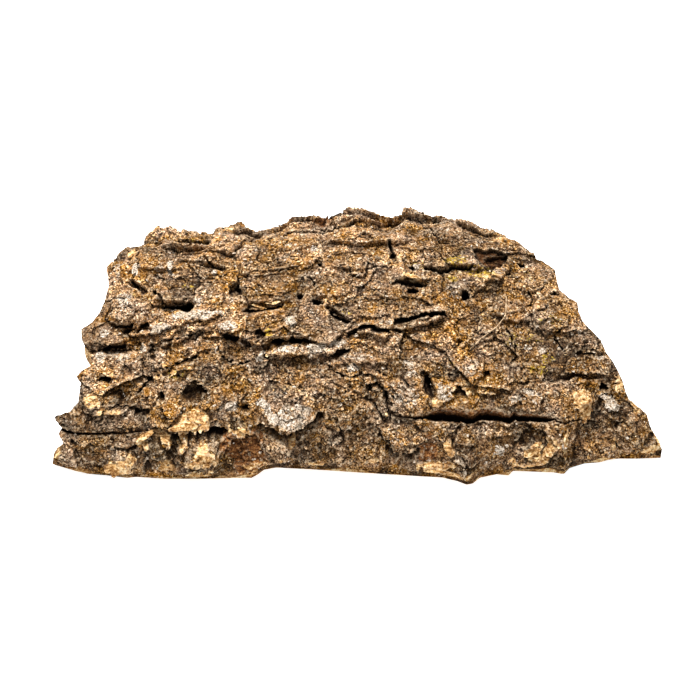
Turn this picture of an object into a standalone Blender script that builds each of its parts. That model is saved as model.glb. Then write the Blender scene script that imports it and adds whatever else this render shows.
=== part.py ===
"""A slab of raw cork oak bark: one arched plate, hollow side down, with deep furrows and lifted plates of bark."""

import bmesh
import bpy
import numpy as np

MM = 0.001
NAME = "cork_bark_slab"

# The arch, in millimetres. The near rim is the side towards -Y and the far rim the side towards +Y.
NEAR_REACH = 114.0
FAR_REACH = 103.0
CREST = 59.0
CREST_ALONG = ((-205.0, -8.0), (-140.0, -4.0), (-60.0, 0.0), (25.0, 3.0), (70.0, 0.5), (120.0, -4.0), (205.0, -9.0))

# The origin is under the middle of the slab's box, so the arch is moved by this much along and across.
TO_MIDDLE_X = -0.3
TO_MIDDLE_Y = 8.4

# Thickness of the bark from the base of the furrows to the hollow side, by distance round the arch.
THICKNESS = ((0.0, 4.5), (10.0, 9.0), (34.0, 17.0), (90.0, 18.0), (150.0, 18.0), (215.0, 14.0), (262.0, 10.0))

# The thin inner layer sticks out past the bark along the near rim.
NEAR_LIP = 5.8
NEAR_LIP_REACH = 6.5

# How fine the shell is laid out before it is thinned, and how much of it is kept.
CELLS_LONG = 170
CELLS_ROUND = 112
CELLS_THICK = 4
KEPT_SHARE = 0.13

# The broken outline: distance along the slab where it ends, by distance round the arch from the near rim.
LEFT_END = (
    (0, -203), (5, -202), (11, -196), (17, -194), (22, -198), (26, -196), (29, -199), (32, -201), (36, -196), (40, -190),
    (46, -185), (59, -184), (64, -187), (68, -184), (72, -178), (80, -178), (87, -183), (93, -185), (100, -186), (106, -179),
    (113, -175), (125, -172), (136, -170), (149, -172), (157, -173), (163, -169), (171, -166), (180, -162), (186, -156),
    (197, -151), (215, -151), (232, -144), (250, -148), (262, -141),
)
RIGHT_END = (
    (0, 202), (5, 203), (9, 200), (16, 197), (23, 194), (30, 192), (36, 187), (42, 180), (47, 178), (56, 176), (64, 173),
    (71, 170), (78, 166), (88, 163), (97, 157), (105, 151), (114, 149), (122, 149), (128, 143), (135, 137), (145, 136),
    (155, 135), (162, 129), (167, 125), (177, 118), (188, 110), (197, 104), (212, 105), (226, 99), (243, 105), (262, 97),
)
# The near rim in plan: how far it stands out past the even curve.
NEAR_RIM = (
    (-205, -6), (-186, 1), (-166, 3), (-153, 5), (-128, 7), (-105, 7), (-80, 6), (-70, 6), (-66, 3), (-62, -1), (-54, -3),
    (-38, -2), (-23, -1), (1, 1), (28, 3), (56, 5), (66, 8), (72, 11), (76, 10), (81, 5), (92, 2), (100, 3), (103, -1),
    (125, 0), (137, 0), (141, -5), (151, -9), (161, -10), (174, -12), (186, -12), (205, -13),
)
FAR_RIM = (
    (-165, -8), (-148, -11), (-132, -16), (-112, -20), (-86, -16), (-66, -15), (-50, -9), (-36, -2), (-22, 3), (2, 4), (14, 5),
    (36, 2), (58, 1), (79, -2), (98, -5),
)

# Three low places carry the slab: the middle of each along its rim and the length that is cut flat.
PAD_LIFT = 1.6
PAD_SINK = 1.1
NEAR_PADS = ((-166.0, 15.0), (148.0, 15.0))
FAR_PADS = ((-12.0, 17.0),)

# Lifted edges of bark plates: (points along the edge, height, how far the plate runs back).
LEDGES = (
    (((-94, 97), (-78, 90), (-64, 84), (-39, 87), (-19, 84), (-9, 92), (5, 93), (18, 89), (23, 94), (41, 98), (60, 107)), 5.5, 15),
    (((-64, 76), (-38, 75), (-9, 76)), 4.0, 9),
    (((-131, 87), (-112, 94), (-95, 101)), 5.5, 17),
    (((-137, 121), (-113, 121)), 6.0, 11),
    (((-172, 66), (-154, 66), (-139, 68)), 4.0, 13),
    (((-180, 42), (-162, 43), (-143, 45)), 3.5, 11),
    (((-137, 32), (-127, 38), (-116, 46)), 5.5, 14),
    (((-131, 33), (-104, 33)), 3.0, 8),
    (((-65, 32), (-45, 25), (-31, 33)), 6.0, 14),
    (((-136, 180), (-121, 179), (-106, 180)), 6.0, 12),
    (((58, 149), (72, 150), (88, 150)), 5.5, 13),
    (((29, 136), (37, 134), (47, 137)), 5.5, 8),
    (((122, 69), (144, 64), (167, 60)), 3.0, 12),
    (((16, 22), (31, 17), (39, 20)), 4.5, 9),
    (((38, 12), (63, 9)), 3.0, 6),
    (((-77, 118), (-63, 116), (-48, 117)), 4.5, 9),
    (((-193, 27), (-173, 29), (-156, 30), (-139, 32)), 3.5, 10),
    (((-183, 89), (-169, 88), (-153, 89)), 4.0, 8),
    (((-66, 6), (-56, 5), (-43, 7)), 4.0, 11),
    (((-204, 4), (-187, 6), (-168, 9)), 4.0, 7),
    (((-152, 152), (-138, 149), (-124, 152)), 4.0, 10),
    (((88, 108), (110, 104), (134, 107)), 3.5, 12),
    (((-20, 172), (8, 168), (34, 173)), 4.5, 14),
    (((-88, 214), (-40, 219), (14, 215), (60, 217)), 5.0, 14),
    (((-130, 240), (-86, 244), (-50, 239)), 4.0, 10),
)
# Narrow furrows between plates: (points along the furrow, half width, depth).
FURROWS = (
    (((-156, 98), (-148, 98)), 2.4, 5),
    (((-146, 98), (-139, 99)), 2.4, 5),
    (((-177, 83), (-165, 82), (-154, 83)), 3.2, 7),
    (((-138, 87), (-137, 79)), 2.4, 5),
    (((-160, 59), (-155, 52), (-158, 45)), 2.2, 4),
    (((-128, 67), (-119, 74), (-107, 78)), 2.2, 4),
    (((-58, 86), (-34, 86)), 2.4, 5),
    (((44, 63), (48, 56), (50, 49)), 3.0, 8),
    (((11, 59), (18, 49), (22, 37)), 2.4, 4),
    (((20, 16), (35, 14)), 2.4, 5),
    (((-65, 30), (-45, 21), (-25, 34)), 2.6, 5),
    (((-20, 111), (-14, 105), (-8, 100)), 2.6, 6),
    (((-154, 137), (-149, 134), (-145, 130)), 2.6, 5),
    (((-106, 156), (-99, 153), (-92, 149)), 2.6, 5),
    (((46, 147), (60, 146)), 2.6, 6),
    (((-104, 30), (-88, 30)), 3.0, 7),
    (((-60, 196), (-30, 190), (-6, 196)), 3.0, 6),
    (((10, 236), (46, 231), (84, 238)), 3.0, 6),
)
# Holes and hollows: (along, round, half length, half width, depth).
HOLLOWS = (
    (-115, 116, 6, 5, 10), (-106, 53, 10, 6, 10), (-137, 62, 4, 3, 6), (98, 150, 14, 7, 10), (25, 160, 4, 5, 7),
    (38, 150, 4, 3, 6), (72, 124, 4, 3.5, 7), (-74, 43, 4, 4, 7), (-83, 127, 7, 5, 6), (-40, 121, 4, 3, 6),
    (-27, 116, 6, 3.5, 7), (-27, 152, 3, 3, 5), (-129, 53, 3, 4, 5), (-76, 18, 17, 17, 4), (40, 128, 11, 4, 5),
    (-128, 115, 12, 4, 6), (-35, 68, 26, 5, 3), (-120, 172, 15, 5, 4), (72, 145, 13, 3, 5), (-14, 205, 8, 5, 6),
)
# Knobs and swellings: (along, round, half length, half width, height).
KNOBS = (
    (-154, 113, 14, 15, 6), (-104, 20, 19, 14, 9), (-158, 12, 13, 9, 5), (-129, 22, 9, 10, 4), (-54, 16, 12, 12, 5),
    (67, 128, 8, 7, 4), (113, 13, 14, 9, 5), (134, 6, 9, 7, 4), (190, 13, 9, 8, 4), (86, 136, 12, 8, 4), (-170, 50, 17, 10, 3),
    (-168, 178, 14, 12, 3), (0, 215, 30, 18, 3), (104, 186, 12, 10, 3), (60, 190, 20, 14, 4),
)

# The open crack at the right and the thin one at the left: (along, upper lip, lower lip) at each station, and depth.
RIGHT_CRACK = ((26, 36.0, 34.6), (44, 38.2, 35.8), (52, 42.5, 36), (67, 43.8, 35.6), (93, 41.5, 33), (113, 37.5, 31.5), (123, 36, 31), (140, 32.5, 29.5), (162, 26, 24.8))
RIGHT_CRACK_DEPTH = 13.0
LEFT_CRACK = ((-212, 27, 25), (-192, 27.4, 25), (-173, 28.8, 27), (-156, 30, 28.6), (-138, 32, 31.4))
LEFT_CRACK_DEPTH = 8.0

ARC_STEPS = 1441


def hashed(column, row, seed):
    """An even spread of numbers from 0 to 1, one for each cell of a square layout."""
    number = (column * 374761393 + row * 668265263 + seed * 1274126177) & 0xFFFFFFFF
    number = ((number ^ (number >> 13)) * 1274126177) & 0xFFFFFFFF
    number = number ^ (number >> 16)
    return (number & 0xFFFFFF) / float(0x1000000)


def swell(x, y, seed):
    """Soft rolling noise from -1 to 1 with one swell to a unit."""
    column = np.floor(x).astype(np.int64)
    row = np.floor(y).astype(np.int64)
    part_x = x - column
    part_y = y - row
    part_x = part_x * part_x * (3 - 2 * part_x)
    part_y = part_y * part_y * (3 - 2 * part_y)
    low = hashed(column, row, seed) * (1 - part_x) + hashed(column + 1, row, seed) * part_x
    high = hashed(column, row + 1, seed) * (1 - part_x) + hashed(column + 1, row + 1, seed) * part_x
    return 2 * (low * (1 - part_y) + high * part_y) - 1


def rough(x, y, seed, octaves=3):
    """Swells of halving size added up."""
    total = np.zeros_like(x)
    share = 1.0
    for octave in range(octaves):
        total = total + share * swell(x * 2 ** octave, y * 2 ** octave, seed + 17 * octave)
        share *= 0.5
    return total


def step(low, high, value):
    """0 below low, 1 above high and an even curve between."""
    part = np.clip((value - low) / (high - low), 0, 1)
    return part * part * (3 - 2 * part)


def plates(x, w, size_x, size_w, height, tilt, furrow, seed):
    """Bark plates of one size: each its own height, near edge lifted, with a furrow round it."""
    x = x / size_x
    w = w / size_w
    column = np.floor(x).astype(np.int64)
    row = np.floor(w).astype(np.int64)
    nearest = np.full(x.shape, 9.0)
    second = np.full(x.shape, 9.0)
    own = np.zeros(x.shape)
    rise = np.zeros(x.shape)
    for near_column in range(-1, 2):
        for near_row in range(-1, 2):
            there_column = column + near_column
            there_row = row + near_row
            across = there_column + 0.15 + 0.7 * hashed(there_column, there_row, seed) - x
            along = there_row + 0.15 + 0.7 * hashed(there_column, there_row, seed + 5) - w
            away = np.hypot(across, along)
            closer = away < nearest
            second = np.where(closer, nearest, np.minimum(second, away))
            nearest = np.where(closer, away, nearest)
            own = np.where(closer, hashed(there_column, there_row, seed + 9), own)
            rise = np.where(closer, along, rise)
    edge = step(0.0, 0.22, second - nearest)
    return height * (own - 0.5) * 2 + tilt * rise - furrow * (1 - edge)


def end_fade(x, points, length=6.0):
    """1 along a run of points and 0 past its ends."""
    first = points[0][0]
    last = points[-1][0]
    return step(first - length, first + length, x) * (1 - step(last - length, last + length, x))


def ledge(x, w, points, height, back):
    """The lifted near edge of a plate, which falls away again behind."""
    table = np.array(points, float)
    ragged = 1.8 * swell(x / 5.0, x * 0 + height * 3.1, 71) + 0.9 * swell(x / 2.1, x * 0 + back * 1.7, 72)
    ahead = w - np.interp(x, table[:, 0], table[:, 1]) - ragged
    lifted = step(-1.7, 1.3, ahead) * np.exp(-np.maximum(ahead, 0) / back)
    under = 0.35 * np.exp(-(((ahead + 4.0) / 3.2) ** 2))
    return height * end_fade(x, points) * (lifted - under)


def furrow(x, w, points, half_width, depth):
    """A narrow furrow along a run of points."""
    nearest = np.full(x.shape, 1e3)
    for (x0, w0), (x1, w1) in zip(points[:-1], points[1:]):
        part = np.clip(((x - x0) * (x1 - x0) + (w - w0) * (w1 - w0)) / ((x1 - x0) ** 2 + (w1 - w0) ** 2), 0, 1)
        nearest = np.minimum(nearest, np.hypot(x - x0 - part * (x1 - x0), w - w0 - part * (w1 - w0)))
    return -depth * (1 - step(0.2 * half_width, 1.5 * half_width, nearest))


def mound(x, w, at_x, at_w, half_x, half_w, height):
    """A knob with a steep side, or a hollow when the height is below 0."""
    away = np.hypot((x - at_x) / half_x, (w - at_w) / half_w) + 0.12 * swell(x / 5.0, w / 5.0, 81)
    return height * (1 - step(0.45, 1.1, away))


def relief(x, w):
    """Height of the bark over the even arch, in millimetres."""
    warp_x = x + 7 * rough(x / 30.0, w / 22.0, 11, 2)
    warp_w = w + 4 * rough(x / 26.0, w / 19.0, 12, 2)
    height = 3.6 + 2.2 * rough(x / 75.0, w / 42.0, 13, 2)
    height = height + plates(warp_x, warp_w, 62.0, 27.0, 1.7, -3.2, 2.0, 21)
    height = height + plates(warp_x, warp_w, 27.0, 12.0, 1.1, -1.6, 1.5, 22)
    height = height + plates(warp_x, warp_w, 11.5, 6.5, 0.7, -0.5, 0.7, 23)
    height = height + 0.5 * rough(x / 14.0, w / 3.6, 14, 2)
    for points, lift, back in LEDGES:
        height = height + ledge(x, w, points, lift, back)
    for points, half_width, depth in FURROWS:
        height = height + furrow(x, w, points, half_width, depth)
    for at_x, at_w, half_x, half_w, depth in HOLLOWS:
        height = height + mound(x, w, at_x, at_w, half_x, half_w, -depth)
    for at_x, at_w, half_x, half_w, lift in KNOBS:
        height = height + mound(x, w, at_x, at_w, half_x, half_w, lift)
    return np.clip(height, -7.5, 17.0)


def along_arc():
    """Angle round the even arch, by distance round it from the near rim."""
    angle = np.linspace(0, np.pi, ARC_STEPS)
    reach = np.where(angle < np.pi / 2, NEAR_REACH, FAR_REACH)
    y = -reach * np.cos(angle)
    z = CREST * np.sin(angle)
    return angle, np.concatenate([[0], np.cumsum(np.hypot(np.diff(y), np.diff(z)))])


ANGLE, ROUND = along_arc()
ROUND_TOTAL = ROUND[-1]


def table_at(table, value):
    """A value read from a table of pairs."""
    pairs = np.array(table, float)
    return np.interp(value, pairs[:, 0], pairs[:, 1])


def smoothed(table, value, reach):
    """The same table averaged over a reach either way."""
    return sum(table_at(table, value + reach * part) for part in (-1, -0.66, -0.33, 0, 0.33, 0.66, 1)) / 7


def on_arch(x, w, above):
    """A place over the arch: along the slab, round it, and above the even surface."""
    angle = np.interp(w, ROUND, ANGLE)
    near = NEAR_REACH + table_at(NEAR_RIM, x)
    far = FAR_REACH + table_at(FAR_RIM, x)
    reach = np.where(angle < np.pi / 2, near, far)
    crest = CREST + table_at(CREST_ALONG, x)
    out_y = -np.cos(angle) / reach
    out_z = np.sin(angle) / crest
    length = np.hypot(out_y, out_z)
    y = -reach * np.cos(angle) + above * out_y / length - NEAR_LIP * np.exp(-w / NEAR_LIP_REACH)
    z = crest * np.sin(angle) + above * out_z / length
    return x + TO_MIDDLE_X, y + TO_MIDDLE_Y, z


def pads(x, places):
    """1 over the low places of a rim and 0 between them."""
    low = np.zeros(x.shape)
    for middle, length in places:
        low = np.maximum(low, 1 - step(0.5 * length, 1.4 * length, np.abs(x - middle)))
    return low


def slab_place(u, v, t):
    """Where a point of the slab lies: u along it, v round it from the near rim, t from the hollow side out."""
    w = v * ROUND_TOTAL
    left = smoothed(LEFT_END, w, 16.0)
    right = smoothed(RIGHT_END, w, 16.0)
    x = left + u * (right - left)
    from_left = x - left
    from_right = right - x
    middle = np.sin(np.pi * t)
    left_jag = table_at(LEFT_END, w) - left + middle * (1.6 * swell(w / 6.0, t * 5.0, 31) + 1.5)
    right_jag = table_at(RIGHT_END, w) - right + middle * (1.6 * swell(w / 6.0, t * 5.0, 32) - 1.5)
    x = x + left_jag * np.exp(-from_left / 15.0) + right_jag * np.exp(-from_right / 15.0)
    fade = step(0.0, 9.0, w) * step(0.0, 8.0, ROUND_TOTAL - w)
    rolled = 2.8 * np.exp(-from_left / 4.0) + 2.8 * np.exp(-from_right / 4.0)
    top = (relief(x, w) - rolled) * fade
    thick = table_at(THICKNESS, w) + 0.8 * rough(x / 60.0, w / 30.0, 41, 2) * fade
    above = t * (top + thick) - thick
    leaning = w - 0.4 * np.maximum(above - 3.0, 0) * step(8.0, 30.0, w)
    x, y, z = on_arch(x, leaning, above)
    edge_jag = middle * swell(x / 7.0, t * 4.0, 33)
    y = y + edge_jag * (1.2 * step(0.97, 1.0, v) - 0.5 * step(0.97, 1.0, 1 - v))
    near_low = pads(x, NEAR_PADS)
    far_low = pads(x, FAR_PADS)
    low = near_low * step(0.4, 0.6, 1 - v) + far_low * step(0.4, 0.6, v)
    z = z + PAD_LIFT - (PAD_LIFT + PAD_SINK) * low * np.exp(-z / 8.0)
    return x, y, z


def crack_place(stations, depth):
    """A shaping rule for a wedge that follows a crack: open outside, closing at its depth."""
    table = np.array(stations, float)

    def place(u, v, t):
        x = table[0, 0] + u * (table[-1, 0] - table[0, 0])
        upper = np.interp(x, table[:, 0], table[:, 1])
        lower = np.interp(x, table[:, 0], table[:, 2])
        ends = np.sin(np.pi * np.clip(u, 0.0, 1.0)) ** 0.35
        bottom = 3.0 - (3.0 + depth) * ends
        above = bottom + t * (26.0 - bottom)
        open_share = step(bottom, 9.0, above) * 0.85 + 0.15
        w = lower + v * (upper - lower + 0.3) * open_share + 0.5 * swell(x / 6.0, t * 2.0, 51)
        return on_arch(x, w, above)

    return place


def shaped_box(name, cells, place):
    """A closed box of cells, each corner moved to where the shaping rule puts it."""
    shape = bmesh.new()
    bmesh.ops.create_cube(shape, size=1.0)
    for axis, count in enumerate(cells):
        edges = [e for e in shape.edges if abs(e.verts[0].co[axis] - e.verts[1].co[axis]) > 0.5]
        if count > 1:
            bmesh.ops.subdivide_edges(shape, edges=edges, cuts=count - 1, use_grid_fill=True)
    spots = np.array([vert.co[:] for vert in shape.verts]) + 0.5
    moved = np.stack(place(spots[:, 0], spots[:, 1], spots[:, 2]), -1) * MM
    for vert, spot in zip(shape.verts, moved):
        vert.co = spot
    mesh = bpy.data.meshes.new(name)
    shape.to_mesh(mesh)
    shape.free()
    return bpy.data.objects.new(name, mesh)


def hide_as_cutter(cutter):
    """A cutter is only a tool, so it isn't rendered."""
    cutter.hide_render = True
    cutter.display_type = "WIRE"


def cut(piece, cutter):
    """The cutter's shape taken out of the piece."""
    modifier = piece.modifiers.new(cutter.name, "BOOLEAN")
    modifier.operation = "DIFFERENCE"
    modifier.solver = "EXACT"
    modifier.object = cutter


for old in list(bpy.data.objects):
    bpy.data.objects.remove(old)

pieces = bpy.data.collections.new("cork_bark_slab_parts")
cutters = bpy.data.collections.new("cutters")
bpy.context.scene.collection.children.link(pieces)
bpy.context.scene.collection.children.link(cutters)
cutters.hide_render = True

# The slab itself: a shell laid out finely, then thinned where it is smooth.
slab = shaped_box(NAME, (CELLS_LONG, CELLS_ROUND, CELLS_THICK), slab_place)
slab.data.shade_smooth()
pieces.objects.link(slab)
thinned = slab.modifiers.new("thinned", "DECIMATE")
thinned.ratio = KEPT_SHARE

# The two long cracks run along the grain of the bark.
for crack_name, stations, depth in (
    ("right_crack", RIGHT_CRACK, RIGHT_CRACK_DEPTH),
    ("left_crack", LEFT_CRACK, LEFT_CRACK_DEPTH),
):
    wedge = shaped_box(crack_name, (24, 1, 3), crack_place(stations, depth))
    cutters.objects.link(wedge)
    hide_as_cutter(wedge)
    cut(slab, wedge)

# The floor takes off the undersides of the three low places, which leaves them flat.
floor_shape = bmesh.new()
bmesh.ops.create_cube(floor_shape, size=1.0)
for corner in floor_shape.verts:
    corner.co = (corner.co.x * 0.6, corner.co.y * 0.4, (corner.co.z - 0.5) * 0.02)
floor_mesh = bpy.data.meshes.new("floor_cutter")
floor_shape.to_mesh(floor_mesh)
floor_shape.free()
floor_cutter = bpy.data.objects.new("floor_cutter", floor_mesh)
cutters.objects.link(floor_cutter)
hide_as_cutter(floor_cutter)
cut(slab, floor_cutter)

# Weathered grey-brown outer bark.
bark = bpy.data.materials.new("cork_bark")
bark.use_nodes = True
shader = bark.node_tree.nodes["Principled BSDF"]
shader.inputs["Base Color"].default_value = (0.262, 0.165, 0.092, 1.0)
shader.inputs["Roughness"].default_value = 0.93
slab.data.materials.append(bark)
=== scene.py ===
import math

import bpy
import numpy as np
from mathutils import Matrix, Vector


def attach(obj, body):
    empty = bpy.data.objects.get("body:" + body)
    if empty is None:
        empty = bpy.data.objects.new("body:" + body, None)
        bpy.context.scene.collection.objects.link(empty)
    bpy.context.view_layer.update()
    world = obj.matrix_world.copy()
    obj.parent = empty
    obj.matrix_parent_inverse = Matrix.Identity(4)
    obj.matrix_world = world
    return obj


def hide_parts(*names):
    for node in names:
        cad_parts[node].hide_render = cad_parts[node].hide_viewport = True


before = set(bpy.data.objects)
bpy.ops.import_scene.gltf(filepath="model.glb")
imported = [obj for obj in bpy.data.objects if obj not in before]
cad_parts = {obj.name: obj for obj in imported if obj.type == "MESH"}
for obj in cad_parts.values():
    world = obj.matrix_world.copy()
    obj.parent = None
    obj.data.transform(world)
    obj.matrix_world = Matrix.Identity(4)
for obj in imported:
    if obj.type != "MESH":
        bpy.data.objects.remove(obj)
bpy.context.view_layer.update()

MM = 0.001

# The camera stands where the photograph was taken from: in front of the low torn rim and well above it,
# far enough off that the sides hardly converge.
CAMERA_HEIGHT_ANGLE = math.radians(46.0)
CAMERA_AWAY = 1.5
LOOKED_AT = Vector((-0.0003, 0.0084, 0.030))
AIM_RIGHT = -0.00369
AIM_UP = -0.01769

towards_camera = Vector((0.0, -math.cos(CAMERA_HEIGHT_ANGLE), math.sin(CAMERA_HEIGHT_ANGLE)))
camera_up = Vector((1.0, 0.0, 0.0)).cross(-towards_camera)
aim = -towards_camera + Vector((AIM_RIGHT, 0.0, 0.0)) + camera_up * AIM_UP
camera = bpy.data.objects.new("camera", bpy.data.cameras.new("camera"))
camera.location = LOOKED_AT + towards_camera * CAMERA_AWAY
camera.rotation_euler = aim.to_track_quat("-Z", "Y").to_euler()
camera.data.sensor_width = 36.0
camera.data.lens = 111.63
camera.data.clip_start = 0.05
bpy.context.scene.collection.objects.link(camera)
bpy.context.scene.camera = camera

# The studio: a pale table top, one soft lamp overhead and a little behind, a weaker one in front,
# and an even pale room.
scene = bpy.context.scene
scene.view_settings.view_transform = "Standard"
scene.view_settings.look = "None"


def studio_lamp(name, place, size, watts):
    """A square soft lamp that faces the slab."""
    lamp = bpy.data.lights.new(name, "AREA")
    lamp.shape = "SQUARE"
    lamp.size = size
    lamp.energy = watts
    holder = bpy.data.objects.new(name, lamp)
    holder.location = place
    holder.rotation_euler = (LOOKED_AT - Vector(place)).to_track_quat("-Z", "Y").to_euler()
    scene.collection.objects.link(holder)


studio_lamp("lamp_overhead", (-0.25, 0.46, 1.25), 0.36, 43.0)
studio_lamp("lamp_front", (0.5, -1.4, 0.9), 0.9, 8.0)
room = bpy.data.worlds.new("studio_room")
room.use_nodes = True
room.node_tree.nodes["Background"].inputs["Color"].default_value = (1.0, 0.99, 0.97, 1.0)
room.node_tree.nodes["Background"].inputs["Strength"].default_value = 0.42
scene.world = room

TABLE_HALF = 6.0
TABLE_DROP = 0.0003
table_mesh = bpy.data.meshes.new("table_top")
table_mesh.from_pydata(
    [(x * TABLE_HALF, y * TABLE_HALF, -TABLE_DROP) for x, y in ((-1, -1), (1, -1), (1, 1), (-1, 1))],
    [],
    [(0, 1, 2, 3)],
)
table_top = bpy.data.objects.new("table_top", table_mesh)
scene.collection.objects.link(table_top)
white = bpy.data.materials.new("pale_table")
white.use_nodes = True
for socket, value in (
    ("Base Color", (0.9, 0.9, 0.9, 1.0)), ("Roughness", 0.9), ("Emission Color", (1.0, 1.0, 1.0, 1.0)),
    ("Emission Strength", 0.7), ("Specular IOR Level", 0.1),
):
    white.node_tree.nodes["Principled BSDF"].inputs[socket].default_value = value
table_mesh.materials.append(white)

# The slab: one plate of raw cork oak bark, split off the trunk, arched as the trunk was round. Its outer side
# is the weathered crust with its plates, furrows and two long cracks, its hollow side is smooth, and its
# ends are broken.
NEAR_REACH = 114.0
FAR_REACH = 103.0
CREST = 59.0
CREST_ALONG = (
    (-205.0, -8.0), (-140.0, -4.0), (-60.0, 0.0), (25.0, 3.0), (70.0, 0.5), (120.0, -4.0), (205.0, -9.0),
)
NEAR_LIP = 5.8
NEAR_LIP_REACH = 6.5
TO_MIDDLE_X = -0.3
TO_MIDDLE_Y = 8.4
THICKNESS = (
    (0.0, 4.5), (10.0, 9.0), (34.0, 17.0), (90.0, 18.0), (150.0, 18.0), (215.0, 14.0), (262.0, 10.0),
)
# Where the slab ends at the left and the right: (round from the near rim, along).
LEFT_END = (
    (0, -203), (5, -202), (11, -196), (17, -194), (22, -198), (26, -196), (29, -199), (32, -201),
    (36, -196), (40, -190), (46, -185), (59, -184), (64, -187), (68, -184), (72, -178), (80, -178),
    (87, -183), (93, -185), (100, -186), (106, -179), (113, -175), (125, -172), (136, -170), (149, -172),
    (157, -173), (163, -169), (171, -166), (180, -162), (186, -156), (197, -151), (215, -151), (232, -144),
    (250, -148), (262, -141),
)
RIGHT_END = (
    (0, 202), (5, 203), (9, 200), (16, 197), (23, 194), (30, 192), (36, 187), (42, 180), (47, 178),
    (56, 176), (64, 173), (71, 170), (78, 166), (88, 163), (97, 157), (105, 151), (114, 149), (122, 149),
    (128, 143), (135, 137), (145, 136), (155, 135), (162, 129), (167, 125), (177, 118), (188, 110),
    (197, 104), (212, 105), (226, 99), (243, 105), (262, 97),
)
# How far the two long rims stand out past the even curve: (along, out).
NEAR_RIM = (
    (-205, -6), (-186, 1), (-166, 3), (-153, 5), (-128, 7), (-105, 7), (-80, 6), (-70, 6), (-66, 3),
    (-62, -1), (-54, -3), (-38, -2), (-23, -1), (1, 1), (28, 3), (56, 5), (66, 8), (72, 11), (76, 10),
    (81, 5), (92, 2), (100, 3), (103, -1), (125, 0), (137, 0), (141, -5), (151, -9), (161, -10), (174, -12),
    (186, -12), (205, -13),
)
FAR_RIM = (
    (-165, -8), (-148, -11), (-132, -16), (-112, -20), (-86, -16), (-66, -15), (-50, -9), (-36, -2),
    (-22, 3), (2, 4), (14, 5), (36, 2), (58, 1), (79, -2), (98, -5),
)
# The three low places that it stands on: the middle and the length of each, along its rim.
PAD_LIFT = 1.6
PAD_SINK = 1.1
NEAR_PADS = ((-166.0, 15.0), (148.0, 15.0))
FAR_PADS = ((-12.0, 17.0),)
# Lifted edges of plates: (points along the edge, height, how far the plate runs back).
LEDGES = (
    (((-94, 97), (-78, 90), (-64, 84), (-39, 87), (-19, 84), (-9, 92), (5, 93), (18, 89), (23, 94),
     (41, 98), (60, 107)), 5.5, 15),
    (((-64, 76), (-38, 75), (-9, 76)), 3.0, 9),
    (((-131, 87), (-112, 94), (-95, 101)), 3.5, 17),
    (((-137, 121), (-113, 121)), 6.0, 11),
    (((-172, 66), (-154, 66), (-139, 68)), 2.2, 13),
    (((-180, 42), (-162, 43), (-143, 45)), 3.5, 11),
    (((-137, 32), (-127, 38), (-116, 46)), 5.5, 14),
    (((-131, 33), (-104, 33)), 3.0, 8),
    (((-65, 32), (-45, 25), (-31, 33)), 6.0, 14),
    (((-136, 180), (-121, 179), (-106, 180)), 6.0, 12),
    (((58, 149), (72, 150), (88, 150)), 3.5, 13),
    (((29, 136), (37, 134), (47, 137)), 5.5, 8),
    (((122, 69), (144, 64), (167, 60)), 1.8, 12),
    (((16, 22), (31, 17), (39, 20)), 4.5, 9),
    (((38, 12), (63, 9)), 3.0, 6),
    (((-77, 118), (-63, 116), (-48, 117)), 4.5, 9),
    (((-193, 27), (-173, 29), (-156, 30), (-139, 32)), 3.5, 10),
    (((-183, 89), (-169, 88), (-153, 89)), 4.0, 8),
    (((-66, 6), (-56, 5), (-43, 7)), 4.0, 11),
    (((-204, 4), (-187, 6), (-168, 9)), 4.0, 7),
    (((-152, 152), (-138, 149), (-124, 152)), 4.0, 10),
    (((88, 108), (110, 104), (134, 107)), 3.5, 12),
    (((-20, 172), (8, 168), (34, 173)), 4.5, 14),
    (((-88, 214), (-40, 219), (14, 215), (60, 217)), 5.0, 14),
    (((-130, 240), (-86, 244), (-50, 239)), 4.0, 10),
)
# Furrows between plates: (points along the furrow, half width, depth).
FURROWS = (
    (((-156, 98), (-148, 98)), 2.4, 5),
    (((-146, 98), (-139, 99)), 2.4, 5),
    (((-177, 83), (-165, 82), (-154, 83)), 2.4, 2.5),
    (((-138, 87), (-137, 79)), 2.4, 5),
    (((-160, 59), (-155, 52), (-158, 45)), 2.0, 2),
    (((-128, 67), (-119, 74), (-107, 78)), 2.0, 2.5),
    (((-58, 86), (-34, 86)), 2.4, 5),
    (((44, 63), (48, 56), (50, 49)), 3.0, 8),
    (((11, 59), (18, 49), (22, 37)), 2.4, 4),
    (((20, 16), (35, 14)), 2.4, 5),
    (((-65, 30), (-45, 21), (-25, 34)), 2.6, 5),
    (((-20, 111), (-14, 105), (-8, 100)), 2.6, 6),
    (((-154, 137), (-149, 134), (-145, 130)), 2.6, 5),
    (((-106, 156), (-99, 153), (-92, 149)), 2.6, 5),
    (((46, 147), (60, 146)), 2.6, 6),
    (((-104, 30), (-88, 30)), 3.0, 7),
    (((-60, 196), (-30, 190), (-6, 196)), 3.0, 6),
    (((10, 236), (46, 231), (84, 238)), 3.0, 6),
)
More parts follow.
